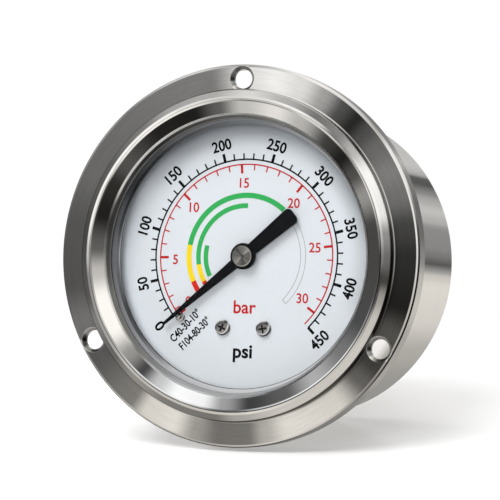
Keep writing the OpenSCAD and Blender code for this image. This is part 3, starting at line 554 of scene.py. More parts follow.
# Strength of the painted glow on the case and inside the flange, where a fixing hole lets one see them.
CASE_LIGHT = ((0, 0), (300, 0), (321, 70), (332, 70), (348, 0))
HOLE_LIGHT = ((0, 0), (195, 0), (203, 100), (217, 100), (225, 0), (340, 0))
# Painted reflections on the cone of a fixing hole, by the way a face looks.
COUNTERSINK = (
    (0, 34), (30, 44), (60, 60), (90, 64), (135, 62), (164, 34), (176, 16), (186, 20), (198, 66), (210, 60),
    (226, 98), (246, 84), (264, 40), (290, 14), (322, 24), (345, 30))
# Painted shade at the dial's edge under the ring and the spacer, and a little painted light at its bottom.
DIAL_BORDER = (
    (0, 77), (15, 66), (30, 58), (45, 64), (60, 70), (75, 68), (90, 62), (120, 64), (138, 80), (150, 92),
    (180, 98), (200, 100), (250, 100), (270, 98), (300, 96), (330, 96), (345, 80))
# Painted glow, reflections and shade on the spacer's faces.
SPACER_FRONT = (
    (0, 48), (30, 46), (60, 50), (90, 48), (105, 44), (120, 37), (135, 27), (150, 20), (165, 34), (180, 44),
    (195, 48), (210, 52), (225, 60), (240, 70), (270, 76), (300, 62), (330, 50))
SPACER_INNER = (
    (0, 72), (30, 62), (60, 58), (90, 43), (105, 34), (120, 26), (135, 14), (150, 9), (165, 20), (180, 40),
    (195, 34), (205, 24), (215, 28), (230, 50), (240, 72), (270, 77), (300, 78), (330, 70), (345, 72))
SPACER_LIP = (
    (0, 48), (40, 56), (90, 38), (120, 34), (150, 34), (170, 48), (180, 62), (192, 40), (205, 20), (220, 20),
    (240, 30), (255, 38), (285, 46), (300, 40), (320, 30), (345, 36))
CAP_TOP = (
    (0, 44), (20, 40), (46, 64), (62, 50), (100, 44), (130, 30), (150, 42), (175, 40), (205, 50), (228, 60),
    (250, 42), (290, 32), (318, 46), (340, 36))
CAP_RIM = ((0, 62), (40, 74), (80, 60), (140, 34), (200, 40), (250, 62), (300, 80), (335, 72))
CAP_SIDE = ((0, 16), (90, 20), (180, 14), (270, 18))

# Finishes

def case_steel(name):
    """The drawn case's side with painted fans of reflection, and a painted glow near the flange that shows
    through the lower right fixing hole.
    """
    tree, shader = brushed(name, ((0, CASE_SIDE),), 0.3, 2.5, 0.1, 1.0)
    turn, _, depth = polar(tree)
    glow = scaled(tree, fans(tree, turn, CASE_LIGHT), span(tree, depth, 12.0, 19.0, 1.0, 0.0))
    shader.inputs["Emission Strength"].default_value = 1.0
    tree.links.new(glow, shader.inputs["Emission Color"])


def inner_flange_steel(name):
    """The flange's inside, with a painted glow where it shows through the lower left fixing hole."""
    tree, shader = painted(name, (0.78, 0.77, 0.75), 0.3, 1.0, emission_strength=1.0)
    tree.links.new(fans(tree, polar(tree)[0], HOLE_LIGHT), shader.inputs["Emission Color"])


def countersink_steel(name):
    """The cone of a fixing hole, with painted fans of reflection by the way a face looks, and a painted
    bright outline where its faces look to the front.
    """
    tree, shader = painted(name, MID_GREY, 0.3, 1.0)
    looks = node(tree, "SeparateXYZ", ((0, node(tree, "TexCoord").outputs["Normal"]),))
    right, ahead, up = looks.outputs
    turn = turn_of(tree, maths(tree, "MULTIPLY", up, -1.0), maths(tree, "MULTIPLY", right, -1.0))
    cone = fans(tree, turn, COUNTERSINK, (0.02, 0.03))
    shade = blend(tree, span(tree, ahead, -0.9, -0.7), (0.8, 0.79, 0.77, 1.0), cone)
    tree.links.new(shade, shader.inputs["Base Color"])


def dial_paint(name):
    """White paint with painted shade towards the dial's edge, where the ring and the spacer shade it, and a
    little painted light at its bottom.
    """
    colour = bpy.context.scene.gauge_colours.dial
    tree, shader = painted(name, colour, 0.5, specular_ior_level=0.1)
    turn, radius, _ = polar(tree)
    share = maths(tree, "POWER", span(tree, radius, 24.5, 29.5), 1.3)
    shade = blend(tree, share, (0.9, 0.9, 0.9, 1.0), fans(tree, turn, DIAL_BORDER, (-0.01, 0.01)))
    shaded = node(tree, "VectorMath", ((0, shade), (1, colour[:3])), operation="MULTIPLY").outputs[0]
    tree.links.new(shaded, shader.inputs["Base Color"])


def soft_rubber(name):
    """Fine-grained rubber of the seals and the filler plug."""
    tree, shader = painted(name, bpy.context.scene.gauge_colours.rubber, 0.6)
    place = node(tree, "TexCoord").outputs["Object"]
    roughen(tree, shader, speckle(tree, place, 2500.0, 2.0), 0.2)


def satin_spacer(name):
    """Moulded spacer ring whose tones are a painted glow, with painted reflections and shade round the axis
    and painted shade behind its front face.
    """
    tree, shader = painted(name, (0.42, 0.43, 0.44), 0.5, specular_ior_level=0.1, emission_strength=0.75)
    turn, radius, depth = polar(tree)
    tints = (-0.03, -0.01)
    shade = fans(tree, turn, SPACER_LIP, tints)
    for edge, lights in ((29.62, SPACER_INNER), (30.35, SPACER_FRONT)):
        share = span(tree, radius, edge - 0.05, edge + 0.05)
        shade = blend(tree, share, shade, fans(tree, turn, lights, tints))
    # Painted shade: faces deeper than about 3 mm glow a quarter as bright.
    shade = scaled(tree, shade, span(tree, depth, 3.0, 3.1, 1.0, 0.25))
    tree.links.new(shade, shader.inputs["Emission Color"])
    tree.links.new(scaled(tree, shade, 0.4), shader.inputs["Base Color"])


# (colour, roughness, specular level) of each ink and paint.
PAINTS = {
    "black_ink": ("ink", 0.6, 0.05), "red_ink": ("red_ink", 0.6, 0.05), "green_ink": ("band_green", 0.6, 0.2),
    "yellow_ink": ("band_yellow", 0.6, 0.2), "signal_red_ink": ("band_red", 0.6, 0.2),
    "pointer_paint": ("pointer", 0.5, 0.05),
}
# (colour, roughness, shine) of each turned metal.
TURNED_METALS = {
    "bright_steel": ("small_steel", 0.18, 1.0), "turned_brass": ("brass", 0.3, 0.15),
    "drawn_bronze": ("bronze", 0.35, 0.0),
}
SHADED = {
    "case_steel": case_steel, "inner_flange_steel": inner_flange_steel,
    "countersink_steel": countersink_steel, "dial_paint": dial_paint, "soft_rubber": soft_rubber,
    "satin_spacer": satin_spacer,
}


def finish_of(name):
    """The gauge's finish of that name, made when it is first asked for."""
    if name in bpy.data.materials:
        return bpy.data.materials[name]
    colours = bpy.context.scene.gauge_colours
    if name in PAINTS:
        colour, roughness, level = PAINTS[name]
        painted(name, getattr(colours, colour), roughness, specular_ior_level=level)
    elif name in TURNED_METALS:
        colour, roughness, shine = TURNED_METALS[name]
        machined(name, getattr(colours, colour), roughness, shine)
    elif name == "flange_steel":
        zones = (
            (32.75, COLLAR_FRONT), (34.6, COLLAR_CORNER), (35.3, COLLAR_LINE), (36.45, COLLAR_SIDE),
            (37.1, FLANGE_FOOT), (41.9, FLANGE_FACE), (42.4, FLANGE_EDGE), (43.2, BEHIND_EDGE), (0, RIM_SIDE))
        brushed(name, zones, 0.32, 7.0, 0.26, 1.0)
    elif name == "ring_steel":
        zones = (
            (30.66, RING_INNER_LINE), (31.6, RING_LIP), (32.25, RING_NOSE), (35.3, RING_FACE),
            (35.66, RING_EDGE), (0, RING_GAP))
        brushed(name, zones, 0.2, 1.5, 0.06, -0.5, (0.03, -0.004), dull_end=31.6)
    elif name == "satin_cap":
        brushed(name, ((2.14, CAP_TOP), (2.3, CAP_RIM), (0, CAP_SIDE)), 0.3, 3.0, 0.2, tints=(0.04, 0.05))
    elif name == "grey_ink":
        painted(name, (0.18, 0.19, 0.2), 0.5)
    elif name == "window_glass":
        painted(name, (0.02, 0.024, 0.03), 0.03, alpha=0.04)
    elif name == "recess_shade":
        painted(name, (0.02, 0.02, 0.018), 0.4, 1.0)
    else:
        SHADED[name](name)
    return bpy.data.materials[name]


def wear_finish(node_name, finish):
    """Gives a CAD piece that is shown as it is a finish."""
    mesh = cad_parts[node_name].data
    mesh.materials.clear()
    mesh.materials.append(finish_of(finish))


# Dial print

def band(bm, inner, outer, start, end):
    """A printed band between two radii in mm and two angles in degrees."""
    part = bmesh.new()
    back = along_y(DIAL)
    front = back - bpy.context.scene.gauge_sizes.print_t
    corners = ((inner, front), (outer, front), (outer, back), (inner, back))
    part.faces.new([part.verts.new((r * MM, y, 0.0)) for r, y in corners])
    bmesh.ops.spin(
        part, geom=part.verts[:] + part.edges[:] + part.faces[:], cent=(0, 0, 0), axis=(0, -1, 0),
        dvec=(0, 0, 0), angle=math.radians(end - start), steps=max(2, int(abs(end - start) / 2)),
        use_duplicate=False, use_merge=False)
    to_start = Matrix.Rotation(-math.radians(start), 3, "Y")
    bmesh.ops.rotate(part, verts=part.verts[:], cent=(0, 0, 0), matrix=to_start)
    close_seams(part, 1e-8)
    add(bm, part)


def tick(bm, inner, outer, angle, width):
    """A printed line along a radius, in mm and degrees."""
    t = bpy.context.scene.gauge_sizes.print_t
    place = Matrix.Rotation(-math.radians(angle), 4, "Y") @ Matrix.Translation(
        ((inner + outer) / 2 * MM, along_y(DIAL) - t / 2, 0.0)) @ Matrix.Diagonal(
        ((outer - inner) * MM, t, width * MM, 1.0))
    bmesh.ops.create_cube(bm, size=1.0, matrix=place)


def letters(bm, text, height, at, turn=0.0, width=0.92, weight=0.028):
    """Printed characters of a height in mm, centred at (x, z) in mm and turned by degrees."""
    curve = bpy.data.curves.new("letters", "FONT")
    curve.body = text
    curve.align_x = "CENTER"
    curve.offset = weight
    curve.resolution_u = 4
    sample = bpy.data.objects.new("letters", curve)
    mesh = bpy.data.meshes.new_from_object(sample)
    part = bmesh.new()
    part.from_mesh(mesh)
    bmesh.ops.remove_doubles(part, verts=part.verts[:], dist=1e-5)
    size = height * MM / DIGIT_HEIGHT
    t = bpy.context.scene.gauge_sizes.print_t
    middle = (min(v.co.x for v in part.verts) + max(v.co.x for v in part.verts)) / 2
    place = Matrix.Translation((at[0] * MM, along_y(DIAL) - t, at[1] * MM)) @ Matrix.Rotation(
        math.radians(90), 4, "X") @ Matrix.Rotation(math.radians(turn), 4, "Z") @ Matrix.Diagonal(
        (size * width, size, size, 1.0)) @ Matrix.Translation((-middle, -DIGIT_HEIGHT / 2, 0.0))
    bmesh.ops.transform(part, matrix=place, verts=part.verts[:])
    bmesh.ops.recalc_face_normals(part, faces=part.faces[:])
    if sum(face.normal.y * face.calc_area() for face in part.faces) > 0:
        bmesh.ops.reverse_faces(part, faces=part.faces[:])
    add(bm, part)
    bpy.data.objects.remove(sample)
    bpy.data.curves.remove(curve)
    bpy.data.meshes.remove(mesh)


def around_dial(radius, angle):
    """(x, z) of a point at a radius and an angle in degrees, in the radius's unit."""
    return radius * math.cos(math.radians(angle)), radius * math.sin(math.radians(angle))


class GAUGE_OT_flange(bpy.types.Operator):
    """Presses the front flange with its turned-back rim, rolled collar and three countersunk holes"""
    bl_idname = "gauge.flange"
    bl_label = "Front Flange"

    def execute(self, context):
        sizes = context.scene.gauge_sizes
        rim, sheet = sizes.flange_r / MM, 1.0
        collar, collar_bore, collar_front, collar_end = 36.8, 34.68, -2.5, -1.6
        section = (
            (36.0, sheet, 0), (rim - sheet, sheet, 0.6), (rim - sheet, RIM_BACK, 0.2), (rim, RIM_BACK, 0.25),
            (rim, 0.0, 0.7), (collar, 0.0, 0.4), (collar, collar_front, 1.1),
            (collar_bore, collar_front, 0.12), (collar_bore, collar_end, 0.1), (36.0, collar_end, 0))
        obj = link_object(turned(section, sizes.ring_steps, start=0.009), "pressed_flange")
        r = sizes.hole_r / MM
        boss = ((0.0, 0.5, 0), (3.08, 0.5, 0), (r + 0.3, 1.7, 0.1), (0.0, 1.7, 0))
        sink = (
            (0.0, -0.4, 0), (3.3, -0.4, 0), (3.0, -0.02, 0), (2.86, 0.05, 0), (2.75, 0.16, 0), (r, 0.9, 0),
            (r, 2.4, 0), (0.0, 2.4, 0))
        for angle in HOLE_ANGLES:
            at = around_dial(sizes.hole_ring_r / MM, angle)
            carve(obj, turned(boss, 48, at, closed=False, start=0.03), "UNION")
            carve(obj, turned(sink, 48, at, closed=False, start=0.05), "DIFFERENCE")
        finishes = [finish_of(name) for name in ("flange_steel", "inner_flange_steel", "countersink_steel")]
        dress(obj, finishes, "housing", "stainless", ("front_flange",), weighted=True)
        holes = [around_dial(sizes.hole_ring_r, angle) for angle in HOLE_ANGLES]
        for face in obj.data.polygons:
            x, y, z = face.center
            behind = y > along_y(sheet - 0.05)
            if behind and math.hypot(x, z) < sizes.flange_r - 0.9 * MM:
                face.material_index = 1
            off = min(math.hypot(x - at[0], z - at[1]) for at in holes)
            reach = sizes.hole_r + 0.02 * MM if behind else 2.95 * MM
            if off < reach and along_y(0.03) < y < along_y(2.3):
                face.material_index = 2
        return {"FINISHED"}


class GAUGE_OT_ring(bpy.types.Operator):
    """Presses the polished ring between the collar and the window"""
    bl_idname = "gauge.ring"
    bl_label = "Bezel Ring"

    def execute(self, context):
        seat, bead = 35.9, 34.675
        section = (
            (seat, -0.85, 0), (seat, -1.55, 0.15), (bead, -1.55, 0.05), (bead, -2.42, 0.12),
            (31.5, -1.45, 0.45), (30.5, 0.0, 0.1), (30.45, 0.25, 0), (31.15, 0.25, 0), (32.1, -0.7, 0.3),
            (33.7, -1.4, 0.2), (33.7, -0.85, 0))
        steps = context.scene.gauge_sizes.ring_steps
        piece(turned(section, steps), "pressed_ring", "ring_steel", "polished_steel", ("bezel_ring",))
        return {"FINISHED"}


class GAUGE_OT_case(bpy.types.Operator):
    """Draws the round case with its rear wall"""
    bl_idname = "gauge.case"
    bl_label = "Case"

    def execute(self, context):
        sizes = context.scene.gauge_sizes
        r, back, sheet, opening, plug_hole = sizes.case_r / MM, CASE_BACK, 0.8, 8.2, 4.0
        section = (
            (r - sheet, -sheet, 0), (r, -sheet, 0.1), (r, back, 2.5), (opening, back, 0.2),
            (opening, back - sheet, 0), (r - sheet, back - sheet, 1.7))
        obj = link_object(turned(section, sizes.ring_steps, rounding=8), "drawn_case")
        hole = ((0.0, back - 2, 0), (plug_hole, back - 2, 0), (plug_hole, back + 1, 0), (0.0, back + 1, 0))
        carve(obj, turned(hole, 40, (0.0, PLUG_Z), closed=False), "DIFFERENCE")
        dress(obj, finish_of("case_steel"), "housing", "stainless", ("case_body",), weighted=True)
        return {"FINISHED"}


class GAUGE_OT_window(bpy.types.Operator):
    """Sets the window, its gasket and the spacer ring in front of the dial"""
    bl_idname = "gauge.window"
    bl_label = "Window and Seals"

    def execute(self, context):
        steps = context.scene.gauge_sizes.ring_steps
        front, back, edge = 0.6, 2.8, 33.5
        pane = ((0.0, front, 0), (edge, front, 0.2), (edge, back, 0.2), (0.0, back, 0))
        glass = turned(pane, steps, closed=False, rounding=3)
        piece(glass, "window_pane", "window_glass", "window", ("window",))
        seal = (
            (30.45, 0.3, 0.1), (35.0, 0.3, 0.2), (35.0, 3.4, 0.2), (31.6, 3.4, 0.1), (31.6, back, 0),
            (33.55, back, 0), (33.55, front, 0), (30.45, front, 0))
        rubber = turned(seal, steps, rounding=3)
        piece(rubber, "window_seal", "soft_rubber", "black_rubber", ("window_gasket",))
        spacer = (
            (29.45, 2.85, 0.12), (31.4, 2.85, 0.1), (31.4, 3.45, 0), (35.0, 3.45, 0.1), (35.0, 6.4, 0.1),
            (33.1, 6.4, 0.1), (33.1, 4.3, 0), (31.5, 4.3, 0), (31.4, 5.75, 0.05), (30.5, 5.75, 0.08),
            (30.4, 3.6, 0.2), (29.45, 3.25, 0.12))
        moulded = turned(spacer, steps, rounding=3)
        piece(moulded, "dial_spacer", "satin_spacer", "spacer_plastic", ("spacer_ring",))
        return {"FINISHED"}


class GAUGE_OT_dial(bpy.types.Operator):
    """Paints the dial and prints its two scales, their numbers and the coloured bands"""
    bl_idname = "gauge.dial"
    bl_label = "Dial Print"

    def execute(self, context):
        sizes = context.scene.gauge_sizes
        wear_finish("dial_plate", "dial_paint")
        zero, last = math.degrees(sizes.pointer_zero), -45.2
        circle = sizes.scale_r / MM
        number = sizes.number_r / MM
        height = sizes.number_h / MM

        black = bmesh.new()
        band(black, circle - 0.18, circle + 0.18, last, zero)
        for i in range(2, 46):
            angle = SCALE_START - BLACK_STEP * i
            major = i % 5 == 0
            tick(black, circle, circle + (1.9 if major else 1.35), angle, 0.66 if major else 0.36)
            if major:
                turn = angle + 90 if angle < -5 else angle - 90
                letters(black, str(i * 10), height, around_dial(number, angle), turn)
        letters(black, "0", height, around_dial(25.9, 218.4), 130, width=1.05)
        letters(black, "psi", 2.95, (0.0, -21.1), width=1.03, weight=0.026)
        letters(black, "C40-30-10°", 1.7, (-14.1, -15.8), 46.3, width=0.8)
        letters(black, "F104-80-30°", 1.7, (-11.75, -17.45), 45.4, width=0.77)
        piece(black, "print_black", "black_ink", "pointer_black")

        red = bmesh.new()
        inner = sizes.inner_scale_r / MM
        band(red, inner - 0.15, inner + 0.15, last, zero)
        tick(red, inner - 2.05, inner, 219.9, 0.9)
        for bar in range(1, 31):
            angle = SCALE_START - RED_STEP * bar
            major = bar % 5 == 0
            tick(red, inner - (2.0 if major else 1.3), inner, angle, 0.56 if major else 0.3)
        spots = ((0, 17.0, 217.2), (5, 17.0, 183.2), (10, 16.8, 139.6), (15, 16.5, 93.0), (20, 16.4, 47.5),
                 (25, 16.55, 8.0), (30, 16.5, -33.0))
        height = sizes.inner_number_h / MM
        for value, r, angle in spots:
            letters(red, str(value), height, around_dial(r, angle), width=0.96, weight=0.014)
        letters(red, "bar", 2.8, (0.2, -11.25), width=1.02, weight=0.016)
        piece(red, "print_red", "red_ink", "dial_white")

        outer, middle, inmost = (13.1, 14.3), (10.85, 11.95), (9.05, 10.15)
        bands = (
            ("green_ink", ((*outer, 50, 170), (*middle, 89, 190), (*inmost, 166, 208))),
            ("yellow_ink", ((*outer, 170, 205), (*middle, 190, 210))),
            ("signal_red_ink", ((*outer, 205, 215.5), (*middle, 210, 215))),
            ("grey_ink", ((13.06, 13.16, -46, 36), (14.24, 14.34, -46, 36))),
        )
        for ink, arcs in bands:
            bm = bmesh.new()
            if ink == "grey_ink":
                tick(bm, 13.06, 14.34, -46, 0.1)
            for arc in arcs:
                band(bm, *arc)
            piece(bm, "print_" + ink, ink, "dial_white")
        return {"FINISHED"}


class GAUGE_OT_pointer(bpy.types.Operator):
    """Stamps the pointer and turns its cap"""
    bl_idname = "gauge.pointer"
    bl_label = "Pointer"

    def execute(self, context):
        front, sheet = 4.2, 0.4
        outline = (
            (24.5, -0.3, 0.2), (24.5, 0.3, 0.2), (0.0, 1.275, 0), (-15.2, 2.0, 1.1), (-15.2, -2.0, 1.1),
            (0.0, -1.275, 0))
        bm = bmesh.new()
        points = [Vector((x * MM, along_y(front), z * MM)) for x, z, _ in outline]
        verts = [bm.verts.new(point) for point in points]
        for i in range(len(verts)):
            bm.edges.new((verts[i - 1], verts[i]))
        round_corners(bm, verts, points, [corner for _, _, corner in outline], 6)
        blade = bmesh.ops.contextual_create(bm, geom=bm.edges[:])["faces"]
        raised = bmesh.ops.extrude_face_region(bm, geom=blade)["geom"]
        bmesh.ops.translate(
            bm, verts=[v for v in raised if isinstance(v, bmesh.types.BMVert)], vec=(0.0, sheet * MM, 0.0))
        bmesh.ops.recalc_face_normals(bm, faces=bm.faces[:])
        rims = [e for e in bm.edges if len(e.link_faces) == 2 and e.calc_face_angle() > 1.2]
        bmesh.ops.bevel(
            bm, geom=rims, offset=0.05 * MM, offset_type="OFFSET", affect="EDGES", segments=2, profile=0.5,
            material=-1)
        zero = Matrix.Rotation(-context.scene.gauge_sizes.pointer_zero, 3, "Y")
        bmesh.ops.rotate(bm, verts=bm.verts[:], cent=(0, 0, 0), matrix=zero)
        hub = ((1.35, 4.6, 0), (1.35, 3.9, 0), (2.95, 3.9, 0.12), (2.95, 4.6, 0.1))
        add(bm, turned(hub, 64, rounding=3))
        piece(bm, "pointer_blade", "pointer_paint", "pointer_black", ("pointer",), body="pointer")

        cap = (
            (0.0, 3.6, 0), (0.18, 3.6, 0), (0.5, 3.3, 0.05), (2.45, 3.3, 0.16), (2.45, 3.9, 0), (0.0, 3.9, 0))
        button = turned(cap, 64, closed=False, rounding=3)
        piece(button, "pointer_button", "satin_cap", "small_steel", ("pointer_cap",), body="pointer")
        return {"FINISHED"}


class GAUGE_OT_dial_fittings(bpy.types.Operator):
    """Turns the two dial screws and the stop pin"""
    bl_idname = "gauge.dial_fittings"
    bl_label = "Dial Screws and Stop Pin"

    def execute(self, context):
        shank, head_r = 0.98, 1.78
        head = (
            (0.0, 8.4, 0), (shank, 8.4, 0.15), (shank, DIAL, 0), (head_r, DIAL, 0), (head_r, SCREW_TOP, 0.62),
            (0.0, SCREW_TOP, 0))
        for side, x, turn in (("left", -SCREW_X, 24), ("right", SCREW_X, -12)):
            at = (x, SCREW_Z)
            obj = link_object(turned(head, 48, at, closed=False), "dial_screw_" + side)
            cross_recess(obj, at, SCREW_TOP, 0.5, 0.95, 0.42, math.radians(turn), -1)
            finishes = (finish_of("bright_steel"), finish_of("recess_shade"))
            dress(obj, finishes, "housing", "small_steel", ("dial_screws",))
            for face in obj.data.polygons:
                off = math.hypot(face.center.x - x * MM, face.center.z - SCREW_Z * MM)
                if face.center.y > along_y(SCREW_TOP + 0.1) and off < 1.0 * MM and face.normal.y < -0.9:
                    face.material_index = 1
        low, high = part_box("stop_pin")
        at = ((low[0] + high[0]) / 2 / MM, (low[2] + high[2]) / 2 / MM)
        pin_r, foot_r = 0.55, 1.0
        pin = (
            (0.0, 6.6, 0), (pin_r, 6.6, 0.05), (pin_r, DIAL, 0), (foot_r, DIAL, 0), (foot_r, 4.9, 0.15),
            (pin_r, 4.9, 0.05), (pin_r, 3.9, 0.3), (0.0, 3.9, 0))
        stud = turned(pin, 40, at, closed=False, rounding=4)
        piece(stud, "stop_stud", "bright_steel", "small_steel", ("stop_pin",))
        return {"FINISHED"}


class GAUGE_OT_stem(bpy.types.Operator):
    """Cuts the pipe thread on the socket's stem"""
    bl_idname = "gauge.stem"
    bl_label = "Socket and Stem"

    def execute(self, context):
        pitch = context.scene.gauge_sizes.thread_pitch
        start, end, bore, tip = 61.4, STEM_BACK, 3.0, 4.74
        root, crest = 5.72, 6.5785
        bm = bmesh.new()
        bm.from_mesh(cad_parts["socket"].data)
        bmesh.ops.remove_doubles(bm, verts=bm.verts[:], dist=2e-6)
        cut = bmesh.ops.bisect_plane(
            bm, geom=bm.verts[:] + bm.edges[:] + bm.faces[:], dist=1e-7, plane_co=(0, along_y(start), 0),
            plane_no=(0, 1, 0), clear_outer=True)
        rim = [e for e in cut["geom_cut"] if isinstance(e, bmesh.types.BMEdge)]
        bmesh.ops.bridge_loops(bm, edges=rim)
        core = (
            (bore, start, 0), (root, start, 0), (root, end - 2.4, 0), (tip, end - 2.0, 0.1), (tip, end, 0.3),
            (bore + 0.25, end, 0), (bore, end - 0.3, 0))
        add(bm, turned(core, 72, rounding=3))

        ridge = bmesh.new()
        first, last = 62.35, end - 2.0
        profile = (
            (root - 0.1, -0.62), (root, -0.5), (crest - 0.12, -0.14), (crest, 0.0), (crest - 0.12, 0.14),
            (root, 0.5), (root - 0.1, 0.62))
        verts = [ridge.verts.new((r * MM, along_y(first + y), 0.0)) for r, y in profile]
        for i in range(len(verts)):
            ridge.edges.new((verts[i - 1], verts[i]))
        turns = (last - first - 0.5) * MM / pitch
        steps = int(turns * 60)
        bmesh.ops.spin(
            ridge, geom=ridge.verts[:] + ridge.edges[:], cent=(0, 0, 0), axis=(0, -1, 0),
            dvec=(0, turns * pitch / steps, 0), angle=turns * 2 * math.pi, steps=steps, use_duplicate=False)
        for vert in ridge.verts:
            depth = vert.co.y / MM - FACE
            away = min(depth - first, last - depth)
            r = math.hypot(vert.co.x, vert.co.z)
            limit = (root + max(0.0, min(1.0, (away + 0.4) / 0.9)) * (crest - root)) * MM
            if r > limit:
                vert.co.x *= limit / r
                vert.co.z *= limit / r
        bmesh.ops.holes_fill(ridge, edges=[e for e in ridge.edges if len(e.link_faces) == 1], sides=0)
        bmesh.ops.recalc_face_normals(ridge, faces=ridge.faces[:])
        add(bm, ridge)
        piece(bm, "threaded_socket", "turned_brass", "brass", ("socket",), angle=28)
        return {"FINISHED"}


class GAUGE_OT_rear_fittings(bpy.types.Operator):
    """Turns the three case screws and moulds the filler plug"""
    bl_idname = "gauge.rear_fittings"
    bl_label = "Case Screws and Filler Plug"

    def execute(self, context):
        back = CASE_BACK
        shank, head_r, top = 1.45, 2.5, back + 1.45
        head = (
            (0.0, back - 4.0, 0), (shank, back - 4.0, 0.2), (shank, back, 0), (head_r, back, 0.1),
            (head_r, top, 0.8), (0.0, top, 0))
        for i, angle in enumerate((300, 180, 60)):
            at = around_dial(12.4, angle)
            obj = link_object(turned(head, 56, at, closed=False), "case_screw_" + str(i + 1))
            cross_recess(obj, at, top, 0.9, 1.5, 0.55, math.radians(20 + 35 * i), 1)
            dress(obj, finish_of("bright_steel"), "housing", "small_steel", ("case_screws",))
        neck, flap = 4.0, 5.6
        plug = (
            (0.0, back - 2.4, 0), (3.2, back - 2.4, 0.3), (4.8, back - 0.8, 0.1), (neck, back - 0.8, 0),
            (neck, back, 0), (flap, back, 0.2), (flap, back + 1.8, 1.0), (1.8, back + 1.8, 0.3),
            (1.3, back + 3.2, 0.3), (0.0, back + 3.2, 0))
        rubber = turned(plug, 72, (0.0, PLUG_Z), closed=False)
        piece(rubber, "moulded_plug", "soft_rubber", "black_rubber", ("filler_plug",))
        return {"FINISHED"}


class GAUGE_OT_inner_works(bpy.types.Operator):
    """Gives the movement, the tube and the other inner pieces their finishes"""
    bl_idname = "gauge.inner_works"
    bl_label = "Movement Finishes"

    def execute(self, context):
        finishes = {
            "turned_brass": (
                "pointer_bush", "hairspring_collet", "hairspring_stud", "sector_gear", "movement_front_plate",
                "movement_back_plate", "movement_pillars", "dial_posts", "tube_tip", "restrictor"),
            "drawn_bronze": ("bourdon_tube", "hairspring"),
            "bright_steel": (
                "pinion_arbor", "sector_arbor", "movement_screws", "block_screws", "link", "sector_pin",
                "tip_pin", "seat_ring"),
            "soft_rubber": ("case_seal",),
        }
        for finish, nodes in finishes.items():
            for name in nodes:
                wear_finish(name, finish)
        return {"FINISHED"}


def floor_finish(colour):
    """White gloss under the gauge that fades to plain white away from it and can't be seen from below."""
    tree, shader = painted(
        "floor_gloss", colour, 0.5, specular_ior_level=0.0, emission_color=(1.0, 1.0, 1.0, 1.0))
    path = node(tree, "LightPath").outputs
    tree.links.new(maths(tree, "MULTIPLY", path["Is Camera Ray"], 0.3), shader.inputs["Emission Strength"])

    def mixed(share, first, second):
        links = ((0, share), (1, first.outputs[0]), (2, second.outputs[0]))
        return node(tree, "MixShader", links)

    white = node(tree, "Emission")
    spot = node(tree, "TexCoord").outputs["Object"]
    away = node(tree, "VectorMath", ((0, spot),), operation="LENGTH").outputs["Value"]
    varnished = mixed(0.14, shader, node(tree, "BsdfGlossy", (("Roughness", 0.16),)))
    faded = mixed(span(tree, away, 0.08, 0.22), varnished, white)
    mirrored = mixed(path["Is Glossy Ray"], faded, white)
    below = node(tree, "NewGeometry").outputs["Backfacing"]
    seen = mixed(below, mirrored, node(tree, "BsdfTransparent"))
    tree.links.new(seen.outputs[0], tree.nodes["Material Output"].inputs[0])
    return bpy.data.materials["floor_gloss"]


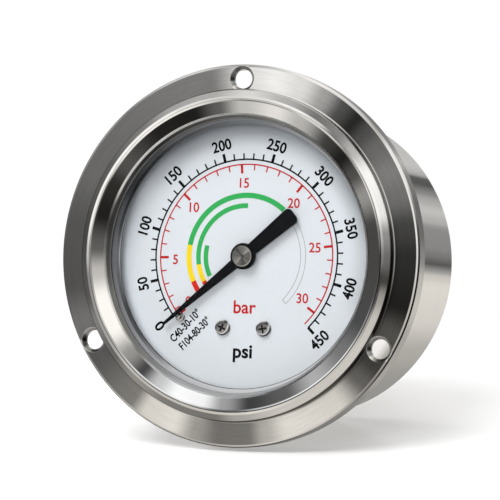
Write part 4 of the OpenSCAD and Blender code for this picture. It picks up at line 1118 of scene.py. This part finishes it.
class GAUGE_OT_studio(bpy.types.Operator):
    """Sets the floor, the lamps, the white surroundings and the camera"""
    bl_idname = "gauge.studio"
    bl_label = "Studio"

    def execute(self, context):
        scene = context.scene
        scene.view_settings.view_transform = "Standard"
        front = Vector((0.0, along_y(RIM_BACK), -scene.gauge_sizes.flange_r))
        rear = Vector((0.0, along_y(CASE_BACK - 2.5), -scene.gauge_sizes.case_r))
        lean = math.atan2(rear.z - front.z, rear.y - front.y)
        bm = bmesh.new()
        bmesh.ops.create_grid(bm, x_segments=1, y_segments=1, size=6.0)
        place = Matrix.Translation(front - Vector((0, 0, 0.2 * MM))) @ Matrix.Rotation(lean, 4, "X")
        bmesh.ops.transform(bm, matrix=place, verts=bm.verts[:])
        floor = link_object(bm, "floor")
        floor.data.materials.append(floor_finish(scene.gauge_colours.floor))

        world = bpy.data.worlds.new("studio")
        scene.world = world
        world.use_nodes = True
        tree = world.node_tree
        path = node(tree, "LightPath").outputs
        mirrored = maths(tree, "MAXIMUM", path["Is Glossy Ray"], path["Is Transmission Ray"])
        seen = maths(tree, "MAXIMUM", path["Is Camera Ray"], mirrored)
        tree.links.new(span(tree, seen, 0.0, 1.0, 0.13, 1.0), tree.nodes["Background"].inputs["Strength"])
        tree.nodes["Background"].inputs["Color"].default_value = (1.0, 1.0, 1.0, 1.0)

        lamps = (
            ("key_lamp", (-0.15, -0.56, 0.57), 0.6, 6.3),
            ("fill_lamp", (0.1, -0.9, -0.1), 0.7, 4.3),
            ("top_lamp", (-0.05, 0.1, 0.8), 0.9, 4.0),
        )
        for name, spot, size, power in lamps:
            lamp = bpy.data.lights.new(name, "AREA")
            lamp.shape = "DISK"
            lamp.size = size
            lamp.energy = power
            holder = bpy.data.objects.new(name, lamp)
            holder.location = spot
            holder.rotation_euler = Vector(spot).to_track_quat("Z", "Y").to_euler()
            holder.visible_glossy = False
            scene.collection.objects.link(holder)

        view = scene.gauge_camera
        back = (Vector(view.place) - Vector(view.aim)).normalized()
        level = Vector((0.0, 0.0, 1.0)).cross(back).normalized()
        upright = back.cross(level)
        right = math.cos(view.roll) * level + math.sin(view.roll) * upright
        up = math.cos(view.roll) * upright - math.sin(view.roll) * level
        lens = bpy.data.cameras.new("camera")
        lens.lens = view.lens
        lens.sensor_width = 36.0
        camera = bpy.data.objects.new("camera", lens)
        camera.matrix_world = Matrix.Translation(view.place) @ Matrix((right, up, back)).transposed().to_4x4()
        scene.collection.objects.link(camera)
        scene.camera = camera
        return {"FINISHED"}


STEPS = (
    GAUGE_OT_case, GAUGE_OT_flange, GAUGE_OT_ring, GAUGE_OT_window, GAUGE_OT_dial, GAUGE_OT_pointer,
    GAUGE_OT_dial_fittings, GAUGE_OT_stem, GAUGE_OT_rear_fittings, GAUGE_OT_inner_works, GAUGE_OT_studio)


class GAUGE_PT_panel(bpy.types.Panel):
    """Lists the gauge's pieces and its sizes"""
    bl_idname = "GAUGE_PT_panel"
    bl_label = "Pressure Gauge"
    bl_space_type = "VIEW_3D"
    bl_region_type = "UI"
    bl_category = "Gauge"

    def draw(self, context):
        for step in STEPS:
            self.layout.operator(step.bl_idname)
        for group in (context.scene.gauge_sizes, context.scene.gauge_colours, context.scene.gauge_camera):
            box = self.layout.box()
            for name in group.__annotations__:
                box.prop(group, name)


CLASSES = (GaugeSizes, GaugeColours, GaugeCamera) + STEPS + (GAUGE_PT_panel,)


def register():
    for cls in CLASSES:
        bpy.utils.register_class(cls)
    bpy.types.Scene.gauge_sizes = PointerProperty(type=GaugeSizes)
    bpy.types.Scene.gauge_colours = PointerProperty(type=GaugeColours)
    bpy.types.Scene.gauge_camera = PointerProperty(type=GaugeCamera)


def unregister():
    del bpy.types.Scene.gauge_camera
    del bpy.types.Scene.gauge_colours
    del bpy.types.Scene.gauge_sizes
    for cls in reversed(CLASSES):
        bpy.utils.unregister_class(cls)


def main():
    register()
    bpy.ops.gauge.case()
    bpy.ops.gauge.flange()
    bpy.ops.gauge.ring()
    bpy.ops.gauge.window()
    bpy.ops.gauge.dial()
    bpy.ops.gauge.pointer()
    bpy.ops.gauge.dial_fittings()
    bpy.ops.gauge.stem()
    bpy.ops.gauge.rear_fittings()
    bpy.ops.gauge.inner_works()
    bpy.ops.gauge.studio()


if __name__ == "__main__":
    main()
